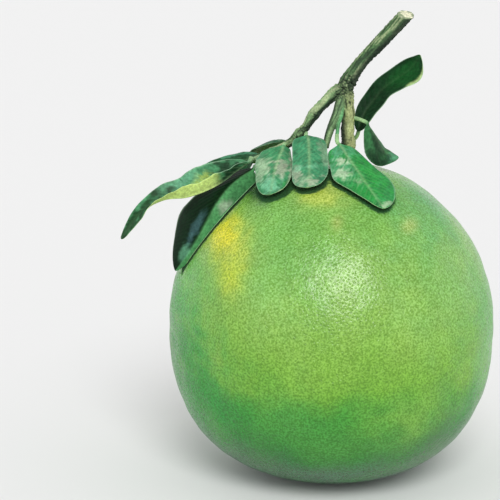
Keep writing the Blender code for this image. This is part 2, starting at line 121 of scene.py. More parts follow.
class LeafSettings(bpy.types.PropertyGroup):
    """Sizes and colours that all of the leaves share."""

    blade: length("Blade", "Thickness of the blade", 0.42 * MM)
    midrib: length("Midrib", "How far the midrib stands out underneath", 0.45 * MM)
    stalk: length("Stalk", "Half the width of a leaf's stalk", 0.95 * MM)
    groove: length("Groove", "Depth of the midrib's groove on the upper side", 0.30 * MM)
    vein_spacing: length("Vein spacing", "Distance between side veins", 3.6 * MM)
    vein_depth: length("Vein depth", "Depth of the side veins", 0.06 * MM)
    quilting: length("Quilting", "How far the blade swells between its side veins", 0.07 * MM)
    vein: colour("Vein", "Midrib and side veins", (0.33, 0.52, 0.25))
    edge: colour("Edge", "The pale line along a leaf's edge", (0.34, 0.56, 0.36))
    under: colour("Underside", "The paler lower side of the blade", (0.44, 0.64, 0.16))


class StageSettings(bpy.types.PropertyGroup):
    """The floor, the lights and the camera."""

    floor_size: length("Floor size", "Side of the floor", 12.0)
    floor: colour("Floor", "The pale floor", (0.80, 0.80, 0.80))
    horizon: share_of("Horizon", "Strength of the surround near the ground", 1.10)
    zenith: share_of("Zenith", "Strength of the surround overhead", 0.60)
    key_strength: share_of("Key strength", "Of the soft light in front, in watts a square metre", 1.85)
    key_angle: share_of("Key angle", "How wide the soft light in front looks, in degrees", 28.0)
    elevation: share_of("Camera elevation", "Degrees above level", 12.0)
    distance: length("Camera distance", "From the camera to what it looks at", 0.937)
    focal: share_of("Focal length", "Of the camera's lens, in millimetres", 135.0)


class PomeloSettings(bpy.types.PropertyGroup):
    """All settings of the pomelo."""

    fruit: bpy.props.PointerProperty(type=FruitSettings, name="Fruit")
    twig: bpy.props.PointerProperty(type=TwigSettings, name="Twig")
    leaves: bpy.props.PointerProperty(type=LeafSettings, name="Leaves")
    stage: bpy.props.PointerProperty(type=StageSettings, name="Stage")


# Shapes that several pieces share


def unit(vectors):
    return vectors / np.maximum(np.linalg.norm(vectors, axis=-1, keepdims=True), 1e-12)


def smooth(values, share):
    """A value that passes smoothly through the given ones as share goes from 0 to 1."""
    values = np.asarray(values, float)
    ends = np.concatenate([[2 * values[0] - values[1]], values, [2 * values[-1] - values[-2]]])
    t = np.clip(share, 0, 1) * (len(values) - 1)
    i = np.minimum(t.astype(int), len(values) - 2)
    f = (t - i).reshape(-1, *[1] * (values.ndim - 1))
    a, b, c, d = ends[i], ends[i + 1], ends[i + 2], ends[i + 3]
    return 0.5 * (
        2 * b + (c - a) * f + (2 * a - 5 * b + 4 * c - d) * f**2 + (3 * b - a - 3 * c + d) * f**3
    )


CURVE_STEPS = 80  # points that a curve is first worked out at, for each of its stops


def run_along(line):
    """How far each point of a line is from its first one, along the line."""
    return np.concatenate([[0], np.cumsum(np.linalg.norm(np.diff(line, axis=0), axis=1))])


def points_at(line, places):
    """The points of a line at the given distances along it."""
    run = run_along(line)
    return np.stack([np.interp(places, run, line[:, k]) for k in range(3)], axis=1)


def curve_through(stops, share):
    """Points on a smooth curve through the stops, at shares of its length."""
    fine = smooth(stops, np.linspace(0, 1, CURVE_STEPS * len(stops)))
    return points_at(fine, share * run_along(fine)[-1])


def ripple(points, size, seed, waves=20):
    """A soft random field of about -1 to 1: plane waves in random directions, whose lengths are
    near the given size, added up and scaled."""
    dice = np.random.default_rng(seed)
    ways = unit(dice.normal(size=(waves, 3))) * 2 * np.pi / size
    ways = ways * dice.uniform(0.7, 1.5, (waves, 1))
    starts = dice.uniform(0, 2 * np.pi, waves)
    return np.sin(points @ ways.T + starts).sum(axis=-1) * np.sqrt(1.0 / waves)


def step(low, high, values):
    """0 below low, 1 above high, and smooth between them."""
    t = np.clip((values - low) / (high - low), 0, 1)
    return t * t * (3 - 2 * t)


def mix(a, b, share):
    """From a to b by share, for colours a and b and an array of shares."""
    share = np.clip(share, 0, 1)[..., None]
    return np.asarray(a) * (1 - share) + np.asarray(b) * share


def vertex_normals(points, triangles):
    """The mean normal at each point, weighted by the area of the triangles round it."""
    a, b, c = points[triangles.T]
    facing = np.cross(b - a, c - a)
    total = np.zeros_like(points)
    for axis in range(3):
        total[:, axis] = np.bincount(
            triangles.ravel(), np.repeat(facing[:, axis], 3), minlength=len(points)
        )
    return unit(total)


def arrays_of(mesh):
    """The points and the triangles of a mesh, which is then removed."""
    points = np.empty(len(mesh.vertices) * 3, np.float32)
    mesh.vertices.foreach_get("co", points)
    corners = np.empty(len(mesh.loops), np.int32)
    mesh.loops.foreach_get("vertex_index", corners)
    bpy.data.meshes.remove(mesh)
    return points.reshape(-1, 3).astype(float), corners.reshape(-1, 3)


def mesh_from(name, points, triangles, material, numbers, tint):
    """One smooth-shaded object from triangles, with numbers and a tint stored on its points."""
    mesh = bpy.data.meshes.new(name)
    mesh.from_pydata(points.tolist(), [], triangles.tolist())
    mesh.validate()
    for key, values in numbers.items():
        stored = mesh.attributes.new(key, "FLOAT", "POINT")
        stored.data.foreach_set("value", np.asarray(values, np.float32).ravel())
    stored = mesh.attributes.new("tint", "FLOAT_COLOR", "POINT")
    full = np.concatenate([np.clip(tint, 0, 1), np.ones((len(tint), 1))], axis=1)
    stored.data.foreach_set("color", full.astype(np.float32).ravel())
    mesh.shade_smooth()
    mesh.materials.append(material)
    made = bpy.data.objects.new(name, mesh)
    bpy.context.scene.collection.objects.link(made)
    return made


def finished(piece, node):
    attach(piece, "root")
    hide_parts(node)


# Materials


def add_node(tree, kind, settings=(), inputs=()):
    """Adds a node, with its settings, and its sockets' values or the sockets that feed them."""
    made = tree.nodes.new("ShaderNode" + kind)
    for key, value in dict(settings).items():
        setattr(made, key, value)
    for key, value in dict(inputs).items():
        if isinstance(value, bpy.types.NodeSocket):
            tree.links.new(value, made.inputs[key])
        else:
            made.inputs[key].default_value = value
    return made


def new_material(name, values):
    """A material with a Principled shader, and the values set on the shader's own sockets."""
    made = bpy.data.materials.new(name)
    made.use_nodes = True
    shader = made.node_tree.nodes["Principled BSDF"]
    for key, value in values.items():
        shader.inputs[key].default_value = value
    return made, made.node_tree, shader


def attribute(tree, name, output="Fac"):
    return add_node(tree, "Attribute", {"attribute_name": name}).outputs[output]


def noise(tree, scale, detail):
    """Noise over the object's own coordinates, with features of about 1 / scale metres."""
    place = add_node(tree, "TexCoord").outputs["Object"]
    values = {"Vector": place, "Scale": scale, "Detail": detail, "Roughness": 0.55}
    return add_node(tree, "TexNoise", inputs=values).outputs["Fac"]


def ranged(tree, value, low, high, to_low, to_high):
    """The value moved from one range to another, smoothly, and held at its ends."""
    values = {"Value": value, "From Min": low, "From Max": high, "To Min": to_low, "To Max": to_high}
    settings = {"interpolation_type": "SMOOTHSTEP", "clamp": True}
    return add_node(tree, "MapRange", settings, values).outputs["Result"]


def mixed(tree, factor, a, b, blend="MIX"):
    made = add_node(tree, "Mix", {"data_type": "RGBA", "blend_type": blend}, {0: factor})
    for socket, value in ((made.inputs[6], a), (made.inputs[7], b)):
        if isinstance(value, bpy.types.NodeSocket):
            tree.links.new(value, socket)
        else:
            socket.default_value = (*value, 1.0)
    return made.outputs[2]


def times(tree, tint, *factors):
    """The tint multiplied by colours, or by numbers, which count as greys."""
    for factor in factors:
        tint = mixed(tree, 1.0, tint, factor, "MULTIPLY")
    return tint


def bumped(tree, height, distance):
    values = {"Height": height, "Distance": distance, "Strength": 1.0}
    return add_node(tree, "Bump", inputs=values).outputs["Normal"]


def feed(tree, shader, sources):
    for key, source in sources.items():
        tree.links.new(source, shader.inputs[key])


def rind_material(fruit):
    """Waxy rind: its stored tint with a fine grain and a broad mottle, darkened in the pits. The
    pits break up its soft gloss, which is dulled where shade is painted under a leaf."""
    made, tree, shader = new_material("pomelo_rind", {"IOR": 1.5})
    grain = ranged(tree, noise(tree, 1050.0, 1.0), 0.33, 0.67, 0.0, 1.0)
    grain = mixed(tree, grain, (0.70, 0.76, 0.48), (1.30, 1.24, 1.52))
    broad = ranged(tree, noise(tree, 120.0, 3.0), 0.3, 0.7, 0.94, 1.06)
    tint = times(tree, attribute(tree, "tint", "Color"), broad, grain)
    depth = ranged(tree, attribute(tree, "pit"), 0.05, 0.62, 0.0, 1.0)
    heights = {0: depth, 1: 0.3, 2: noise(tree, 350.0, 2.0)}
    height = add_node(tree, "Math", {"operation": "MULTIPLY_ADD"}, heights).outputs[0]
    feed(tree, shader, {
        "Base Color": mixed(tree, depth, times(tree, tint, tuple(fruit.pit)), tint),
        "Roughness": ranged(tree, attribute(tree, "shade"), 0.0, 0.6, 0.26, 1.0),
        "Normal": bumped(tree, height, 0.36 * MM),
    })
    return made


def bark_material():
    """Dry bark: its stored tint with fine flecks and a rough surface."""
    made, tree, shader = new_material("pomelo_bark", {"Roughness": 0.72, "IOR": 1.4})
    fleck = ranged(tree, noise(tree, 1100.0, 4.0), 0.3, 0.7, 0.72, 1.25)
    broad = ranged(tree, noise(tree, 220.0, 2.0), 0.3, 0.7, 0.85, 1.15)
    feed(tree, shader, {
        "Base Color": times(tree, attribute(tree, "tint", "Color"), fleck, broad),
        "Normal": bumped(tree, noise(tree, 1400.0, 4.0), 0.25 * MM),
    })
    return made


def leaf_material(name, roughness, gloss):
    """Leathery leaf: its stored tint, with a fine mottle and a dusty bloom that dulls the gloss
    where the stored dust is thick."""
    made, tree, shader = new_material(name, {"IOR": 1.45, "Specular IOR Level": gloss})
    mottle = ranged(tree, noise(tree, 900.0, 4.0), 0.3, 0.7, 0.80, 1.18)
    cells = ranged(tree, noise(tree, 260.0, 3.0), 0.32, 0.68, 0.86, 1.12)
    feed(tree, shader, {
        "Base Color": times(tree, attribute(tree, "tint", "Color"), mottle, cells),
        "Roughness": ranged(tree, attribute(tree, "dust"), 0.0, 1.0, roughness, 0.75),
        "Normal": bumped(tree, noise(tree, 1300.0, 3.0), 0.07 * MM),
    })
    return made


# The fruit


# The rind's colour at heights in millimetres: darker and less red towards the base, which is painted
# shade.
RIND_BANDS = [
    (0, (0.038, 0.135, 0.060)), (12, (0.046, 0.158, 0.062)), (31, (0.022, 0.203, 0.018)),
    (48, (0.056, 0.272, 0.026)), (64, (0.150, 0.352, 0.028)), (79, (0.172, 0.362, 0.036)),
    (92, (0.190, 0.375, 0.046)), (108, (0.208, 0.392, 0.066)), (122, (0.205, 0.392, 0.076)),
    (136, (0.160, 0.375, 0.058)), (160, (0.165, 0.355, 0.070)),
]
# Zones of the rind with a colour of their own, and zones of painted shade and reflection: the centre's X
# and Z and the half sizes along X and Z in millimetres, the side it is on (-1 front, 1 back), the colour
# and its strength.
RIND_ZONES = [
    # Painted shade and reflection, here and in the next six zones: a bluer, less red green at the left
    # rim and a darker, less red one low on the front.
    (-78, 90, 18, 46, -1, (0.038, 0.350, 0.052), 0.8),
    (-68, 56, 18, 22, -1, (0.022, 0.255, 0.030), 0.8),
    (-18, 43, 24, 14, -1, (0.026, 0.230, 0.022), 0.7),
    (-42, 46, 14, 12, -1, (0.020, 0.240, 0.022), 0.5),
    (-80, 62, 14, 22, -1, (0.006, 0.220, 0.012), 0.8),
    (-28, 16, 18, 12, -1, (0.018, 0.120, 0.032), 0.6),
    (49, 30, 15, 14, -1, (0.022, 0.150, 0.024), 0.9),
    (24, 32, 18, 9, -1, (0.050, 0.235, 0.030), 0.6),
    # Painted reflection and shade: the right rim's bluer, less red green.
    (79, 92, 15, 50, -1, (0.080, 0.390, 0.080), 0.75),
    (-28, 120, 22, 26, -1, (0.140, 0.390, 0.085), 0.6),
    (52, 112, 26, 26, -1, (0.165, 0.395, 0.085), 0.7),
    (34, 48, 20, 10, -1, (0.160, 0.365, 0.040), 0.8),
    # Painted reflection and shade: the right shoulder's bluer, less red green.
    (48, 141, 24, 13, -1, (0.070, 0.315, 0.085), 0.85),
    (-51.5, 126, 9.5, 9.0, -1, (0.62, 0.58, 0.020), 0.95),
    (-49.5, 111, 5.0, 9.0, -1, (0.44, 0.53, 0.030), 0.85),
    # Painted shadow: the dark corner of the rind between two leaves.
    (-38, 145.5, 5.5, 3.6, -1, (0.004, 0.060, 0.012), 0.95),
    (-6, 147, 11.0, 4.5, -1, (0.42, 0.50, 0.070), 0.8),
    (0, 137, 3.0, 3.0, -1, (0.44, 0.46, 0.130), 0.5),
    (35, 134, 4.0, 3.0, -1, (0.44, 0.46, 0.130), 0.5),
    (-30, 120, 16, 20, 1, (0.50, 0.54, 0.060), 0.7),
    (34, 88, 20, 26, 1, (0.28, 0.43, 0.090), 0.7),
]


def girth(fruit, turn):
    """How much wider the fruit is than a true circle at an angle round its axis."""
    return 1 + fruit.unevenness * (np.cos(2 * turn + 0.7) + 0.6 * np.cos(3 * turn - 1.1))


def crown_height(fruit, x, y):
    """The rind's height over a point of the upper half: an ellipse of revolution, less a bell
    curve for the dimple round the stalk, deepened along its furrows."""
    out = np.hypot(x, y) / (fruit.radius * girth(fruit, np.arctan2(y, x)))
    height = fruit.widest_height + fruit.top_height * np.sqrt(np.clip(1 - out**2, 0, None))
    dx = x - fruit.stem_x
    dy = y - fruit.stem_y
    away = np.hypot(dx, dy) / fruit.dimple_radius
    furrow = fruit.furrow_share * np.cos(fruit.furrows * np.arctan2(dy, dx)) * np.minimum(away, 1)
    return height - fruit.dimple_depth * np.exp(-(away**2)) * (1 + furrow)


def fruit_profile(fruit):
    """Radius and height from the crown down to the middle of the flat spot: half an ellipse,
    half a superellipse and a flat."""
    fine = np.linspace(0, np.pi / 2, 600)
    power = 2 / fruit.squareness
    lower_r = fruit.radius * np.cos(fine) ** power
    lower_z = fruit.widest_height - fruit.base_depth * np.sin(fine) ** power
    kept = lower_r > fruit.flat_radius
    flat = np.linspace(fruit.flat_radius, 0, 40)
    r = np.concatenate([fruit.radius * np.sin(fine), lower_r[kept][1:], flat])
    z = np.concatenate([fruit.widest_height + fruit.top_height * np.cos(fine), lower_z[kept][1:],
                        np.zeros(40)])
    return r, z


def rind_at(fruit, ways):
    """Points of the rind for unit directions, so that equal shares of the sphere get equal
    shares of the rind: a direction's height picks a place down the profile by area."""
    r, z = fruit_profile(fruit)
    band = np.hypot(np.diff(r), np.diff(z)) * (r[1:] + r[:-1])
    area = np.concatenate([[0], np.cumsum(band)])
    place = (1 - ways[:, 2]) / 2 * area[-1]
    turn = np.arctan2(ways[:, 1], ways[:, 0])
    out = np.interp(place, area, r) * girth(fruit, turn)
    height = np.interp(place, area, z)
    x = out * np.cos(turn)
    y = out * np.sin(turn)
    upper = height > fruit.widest_height
    return np.stack([x, y, np.where(upper, crown_height(fruit, x, y), height)], axis=1)


def scattered_directions(count, jitter):
    """Directions spread evenly over a sphere on a golden-angle spiral, each then moved at random
    by a share of their spacing."""
    k = np.arange(count)
    height = 1 - 2 * (k + 0.5) / count
    turn = k * np.pi * (3 - np.sqrt(5))
    across = np.sqrt(1 - height**2)
    ways = np.stack([across * np.cos(turn), across * np.sin(turn), height], axis=1)
    spacing = np.sqrt(4 * np.pi / count)
    dice = np.random.default_rng(5)
    return unit(ways + dice.normal(size=ways.shape) * jitter * spacing * 0.5)


def hull_triangles(ways):
    """Triangles that join directions to their nearest neighbours: the hull of points on a
    sphere, all turned to face out."""
    mesh = bpy.data.meshes.new("directions")
    mesh.from_pydata(ways.tolist(), [], [])
    shape = bmesh.new()
    shape.from_mesh(mesh)
    bmesh.ops.convex_hull(shape, input=shape.verts, use_existing_faces=False)
    bmesh.ops.triangulate(shape, faces=shape.faces)
    shape.to_mesh(mesh)
    shape.free()
    placed, triangles = arrays_of(mesh)
    a, b, c = placed[triangles.T]
    inward = (np.cross(b - a, c - a) * (a + b + c)).sum(axis=1) < 0
    triangles[inward] = triangles[inward][:, ::-1]
    return placed, triangles


def pitted_sphere(count, jitter):
    """A sphere's triangles with a point in the middle of each pit and points on the ridges
    between them: each pair of triangles that shares an edge becomes two that join its ends to
    the two triangles' own centres."""
    ways, old = hull_triangles(scattered_directions(count, jitter))
    centres = unit(ways[old].sum(axis=1))
    start = old.ravel()
    end = np.roll(old, -1, axis=1).ravel()
    owner = np.repeat(np.arange(len(old)), 3)
    here = start.astype(np.int64) * len(ways) + end
    back = end.astype(np.int64) * len(ways) + start
    order = np.argsort(here)
    other = owner[order[np.searchsorted(here[order], back)]]
    new = np.stack([start, len(ways) + other, len(ways) + owner], axis=1)
    ridge = np.concatenate([np.zeros(len(ways)), np.ones(len(centres))])
    return np.concatenate([ways, centres]), new, ridge


NEAR_RIND = 1.08  # leaf points paint shade on the rind within this share of the fruit's own size
SHADE_EDGE = 0.8 * MM  # over which a leaf's painted shade fades


def painted_shade_under_leaves(fruit, settings, points):
    """Painted shade under the leaves: how closely a leaf lies over each point of the rind, 1 where one
    touches, 0 from a few millimetres away."""
    centre = np.array([0, 0, fruit.widest_height])
    sizes = np.array([fruit.radius, fruit.radius, fruit.top_height])
    shade = np.zeros(len(points))
    for leaf in LEAVES.values():
        if "shade" not in leaf:
            continue
        blade = leaf_surface(leaf, settings, fruit, 70, 27)[0].reshape(-1, 3) - centre
        height = np.linalg.norm(blade / sizes, axis=1, keepdims=True)
        blade = (blade / height)[height[:, 0] < NEAR_RIND] + centre
        low, high = blade.min(axis=0) - 5 * MM, blade.max(axis=0) + 5 * MM
        near = np.flatnonzero(((points > low) & (points < high)).all(axis=1))
        here = points[near]
        away = (here**2).sum(axis=1)[:, None] + (blade**2).sum(axis=1)[None] - 2 * here @ blade.T
        away = np.sqrt(np.clip(away.min(axis=1), 0, None))
        reach = leaf["shade"] * MM
        shade[near] = np.maximum(shade[near], step(reach + SHADE_EDGE, reach, away))
    return shade


def rind_tint(fruit, points):
    """The rind's colour: its own green, shifted in zones whose edges wander with noise. Its darkening
    towards the base and its zones at the rims, low on the front and between two leaves are painted shade
    and reflection.
    """
    heights = points[:, 2] / MM + 5 * ripple(points, 30 * MM, 6)
    levels = [level for level, _ in RIND_BANDS]
    shades = np.array([shade for _, shade in RIND_BANDS]) * np.array(fruit.rind)
    tint = np.stack([np.interp(heights, levels, shades[:, k]) for k in range(3)], axis=1)
    wander = ripple(points, 22 * MM, 3) * 0.22 + ripple(points, 8 * MM, 4) * 0.12
    for x, z, wide, high, side, shade, strength in RIND_ZONES:
        far = np.hypot((points[:, 0] / MM - x) / wide, (points[:, 2] / MM - z) / high)
        facing = step(-0.55, 0.20, side * points[:, 1] / fruit.radius + wander * 0.3)
        weight = np.exp(-((np.clip(far + wander, 0, None)) ** 2)) * facing * strength
        tint = mix(tint, shade, weight)
    shift = ripple(points, 40 * MM, 8)[:, None] * np.array([0.010, 0.012, 0.004])
    return tint + shift


def make_fruit(fruit, leaves):
    """The fruit: rind points in the middle of every pit and on the ridges round it, the pits
    sunk along the normal by a depth that varies from pit to pit."""
    pits = fruit.pits // 1
    ways, triangles, ridge = pitted_sphere(pits, fruit.pit_jitter)
    points = rind_at(fruit, ways)
    normals = vertex_normals(points, triangles)
    lifted = step(0, 25 * MM, points[:, 2])
    dice = np.random.default_rng(11)
    depth = fruit.pit_depth * dice.uniform(0.6, 1.35, len(points)) * (1 - ridge)
    swell = fruit.swell * lifted * (0.7 * ripple(points, 45 * MM, 1) + 0.3 * ripple(points, 14 * MM, 2))
    points = points + normals * (swell - depth)[:, None]
    points[:, 2] = np.maximum(points[:, 2], 0)
    # Painted shade: the rind close under a leaf takes the shade colour and loses its gloss.
    shade = painted_shade_under_leaves(fruit, leaves, points)
    numbers = {"pit": ridge * dice.uniform(0.75, 1.0, len(points)), "shade": shade}
    tint = mix(rind_tint(fruit, points), fruit.shade, shade * 0.96)
    made = mesh_from("pomelo_fruit", points, triangles, rind_material(fruit), numbers, tint)
    finished(made, "fruit")


# The twig


# Each branch: its stops in millimetres, its radii spread evenly from end to end, the setting
# that names its colour, how many ridges run along it and their share of the full height, how
# strong its pale streaks and dark cracks are, and how much painted shade its lower right and its
# left sides get.
BRANCHES = {
    "stem": dict(
        stops=[(5.4, 1, 188.5), (6.1, 1, 192.3), (7.0, 1.2, 195.6), (10.3, 2, 200.8),
               (15.2, 3, 207.2), (22.9, 4, 215.1), (31.4, 4.6, 224.1), (35.6, 5, 228.6)],
        radii=[3.0, 3.8, 3.9, 3.4, 3.2, 3.1, 3.3, 3.5, 3.6, 3.6, 3.5, 3.5],
        colour="bark", ridges=9, relief=1, streaks=0.75, cracks=0.75, below=0.93, beside=0,
    ),
    "leafy_shoot": dict(
        stops=[(6.4, 1, 193), (3.4, 1, 192.2), (0.4, 1, 190.2), (-3.1, 1, 186.8), (-7.5, 1, 182.3),
               (-10.5, 1, 178.4), (-12.8, 1.2, 174.4), (-15.7, 1.5, 171.0), (-19.3, 1.8, 167.2),
               (-24.0, 1.8, 164.2), (-29.4, 1.8, 161.8), (-33.6, 1.8, 160.0)],
        radii=[2.6, 3.3, 2.9, 2.7, 2.6, 2.9, 2.3, 2.1, 2.7, 2.2, 2.1, 2.1, 2.2, 1.5],
        colour="shoot", ridges=6, relief=1, streaks=0.8, cracks=0.75, below=0.96, beside=0,
    ),
    "fruit_stalk": dict(
        stops=[(6.2, 1, 194.5), (6.9, 1, 189.5), (7.3, 1, 184.4), (7.6, 1, 177.6), (7.6, 1.2, 171),
               (8.2, 1.4, 164), (8.4, 1.5, 155.0)],
        radii=[2.4, 3.5, 3.5, 3.2, 3.5, 3.1, 3.3, 3.1, 3.5, 3.1, 3.0, 3.4],
        colour="stalk", ridges=7, relief=1, streaks=0.3, cracks=0.75, below=0, beside=0.97,
    ),
    "middle_shoot": dict(
        stops=[(5.6, 0.4, 190.6), (3.8, -1.2, 187.3), (2.2, -2.6, 182.0), (0.3, -3.4, 177.2),
               (-1.5, -4.0, 172.4), (-2.7, -4.6, 168.1), (-3.4, -5.2, 164.7)],
        radii=[1.8, 2.3, 2.1, 2.0, 1.8, 1.5],
        colour="shoot", ridges=3, relief=0.3, streaks=0.35, cracks=0.75, below=0.6, beside=0.8,
    ),
    "thin_shoot": dict(
        stops=[(4.6, -1.6, 186.4), (4.2, -3.2, 181.4), (2.7, -4.3, 175.6), (2.1, -4.8, 171.2)],
        radii=[0.9, 1.1, 0.9, 0.9],
        colour="green", ridges=2, relief=0.3, streaks=0.1, cracks=0, below=0.1, beside=0.2,
    ),
}
CUT_NORMAL = (0.24, -0.45, 0.86)  # the knife's plane across the top of the stem
# Knots and rings on the bark: centre in millimetres, radius, and how dark they are.
KNOTS = [
    ((7.6, -2.0, 194.6), 5.5, 0.85),
    ((9.0, -2.6, 196.6), 2.6, 1.0),
    ((6.0, -3.0, 194.0), 3.0, 1.0),
    ((3.0, -2.4, 190.4), 2.2, 0.9),
    ((-8.8, -1.4, 180.4), 1.8, 0.7),
    ((-13.4, -1.2, 173.6), 2.0, 1.0),
    ((-17.6, -0.6, 169.2), 2.0, 0.7),
    ((8.2, -2.0, 186.4), 1.3, 0.6),
    ((8.0, -2.2, 167.8), 1.5, 0.6),
]
# Sides of the bark with painted shade: the way they face, where the shade starts and is full, and
# the branches' key for it.
SHADED_SIDES = [((0.75, -0.1, -0.65), -0.15, 0.6, "below"), ((-0.95, -0.1, 0.0), 0.1, 0.85, "beside")]
BRANCH_BLEND = 0.7 * MM  # over which one branch's colour gives way to another's
CUT_RADIUS = 3.5 * MM
PITH_SHARE = 0.3  # of the cut's radius
PITH_DEPTH = 0.25 * MM
CALYX_RADIUS = 5.6 * MM
CALYX_LOBE = 1.3 * MM
CALYX_THICKNESS = 1.5 * MM


def ring_triangles(rings, sides):
    """Triangles of a closed tube of rings of points, with a fan over each end's middle point,
    which come last in the list of points."""
    side = np.arange(sides)
    after = (side + 1) % sides
    low = (np.arange(rings - 1) * sides)[:, None]
    a, b, c, d = low + side, low + after, low + sides + after, low + sides + side
    walls = np.concatenate([np.stack([a, c, b], -1), np.stack([a, d, c], -1)]).reshape(-1, 3)
    first = np.stack([np.full(sides, rings * sides), side, after], 1)
    last = (rings - 1) * sides
    second = np.stack([np.full(sides, rings * sides + 1), last + after, last + side], 1)
    return np.concatenate([walls, first, second])


def branch_tube(branch, cut_normal=None, stations=70, sides=28):
    """A branch: rings carried along its curve. The last ring of the cut stem is slid along the
    branch onto the knife's plane."""
    share = np.linspace(0, 1, stations)
    line = curve_through(np.array(branch["stops"]) * MM, share)
    radius = smooth(branch["radii"], share) * MM
    along = unit(np.gradient(line, axis=0))
    across = unit(np.cross(along, [0.0, -1.0, 0.2]))
    upward = np.cross(across, along)
    turn = np.arange(sides)[None, :, None] * 2 * np.pi / sides
    outward = across[:, None] * np.cos(turn) + upward[:, None] * np.sin(turn)
    rings = line[:, None] + radius[:, None, None] * outward
    if cut_normal is not None:
        height = (line[-1] - rings[-1]) @ cut_normal
        rings[-1] += np.outer(height / (along[-1] @ cut_normal), along[-1])
    points = np.concatenate([rings.reshape(-1, 3), line[:1], line[-1:]])
    return points, ring_triangles(stations, sides), line, radius, along, across, upward


def calyx_shell(fruit, sides=60):
    """The five-lobed cap under the stalk: rings out over the dimple and back over the top."""
    turn = np.arange(sides) * 2 * np.pi / sides
    reach = CALYX_RADIUS + CALYX_LOBE * np.cos(5 * turn + 0.6)
    rings = []
    for share, thick in ((0.3, 0), (0.7, 0), (1, 0), (1.04, 0.2), (0.9, 0.55), (0.6, 0.9), (0.3, 1)):
        x = fruit.stem_x + share * reach * np.cos(turn)
        y = fruit.stem_y + share * reach * np.sin(turn)
        z = crown_height(fruit, x, y) + 0.1 * MM + thick * CALYX_THICKNESS
        rings.append(np.stack([x, y, z], axis=1))
    ends = np.stack([rings[0].mean(axis=0), rings[-1].mean(axis=0)])
    points = np.concatenate([*rings, ends])
    return points, ring_triangles(len(rings), sides)


def fused(points, triangles, voxel):
    """One closed skin round overlapping shapes: a voxel remesh, smoothed a little."""
    mesh = bpy.data.meshes.new("branches")
    mesh.from_pydata(points.tolist(), [], triangles.tolist())
    raw = bpy.data.objects.new("branches", mesh)
    bpy.context.scene.collection.objects.link(raw)
    remesh = raw.modifiers.new("fuse", "REMESH")
    remesh.mode = "VOXEL"
    remesh.voxel_size = voxel
    relax = raw.modifiers.new("relax", "SMOOTH")
    relax.factor = 0.5
    relax.iterations = 3
    raw.modifiers.new("triangles", "TRIANGULATE")
    graph = bpy.context.evaluated_depsgraph_get()
    result = bpy.data.meshes.new_from_object(raw.evaluated_get(graph))
    bpy.data.objects.remove(raw, do_unlink=True)
    return arrays_of(result)


def of_each(key):
    return np.array([branch[key] for branch in BRANCHES.values()])


def knots_at(points):
    """How dark and raised the knots make the bark at each point."""
    uneven = 0.6 + 0.6 * ripple(points, 1.6 * MM, 30)
    knot = np.zeros(len(points))
    for centre, size, dark in KNOTS:
        gone = np.linalg.norm(points - np.array(centre) * MM, axis=1) / (size * MM)
        knot = np.maximum(knot, dark * np.exp(-(gone**2)) * uneven)
    return knot


def bark_tint(twig, fruit, points, normals, belongs, branch_of, lane, knot, on_cut, core):
    """The bark's colour: each branch's own, blended where they meet, with pale streaks, dark
    cracks, painted shade on its shaded sides and knots, and then the green calyx and the pale cut end."""
    tint = belongs @ np.array([tuple(getattr(twig, name)) for name in of_each("colour")])
    # The leafy shoot gets as dark as the stem towards its end.
    tint = mix(tint, twig.bark, step(-14 * MM, -24 * MM, points[:, 0]) * 0.8)
    tint = mix(tint, twig.streak, step(0.05, 0.7, lane) * of_each("streaks")[branch_of])
    tint = mix(tint, twig.dark, step(0.15, 0.8, -lane) * of_each("cracks")[branch_of])
    # Painted shade on the sides of the bark that face away from the light.
    for way, low, high, key in SHADED_SIDES:
        shaded = step(low, high, normals @ unit(np.array(way)))
        tint = mix(tint, twig.dark, shaded * (belongs @ of_each(key)))
    tint = mix(tint, twig.dark, np.clip(knot * 1.5, 0, 1) * 0.92)
    above_rind = points[:, 2] - crown_height(fruit, points[:, 0], points[:, 1])
    tint = mix(tint, twig.green, step(2.4 * MM, 1.0 * MM, above_rind) * 0.8)
    torn = step(0.5, 1.0, core * (0.9 + 0.5 * ripple(points, 2.2 * MM, 33)))
    return mix(tint, mix(twig.wood, twig.bark, torn * 0.75), on_cut)


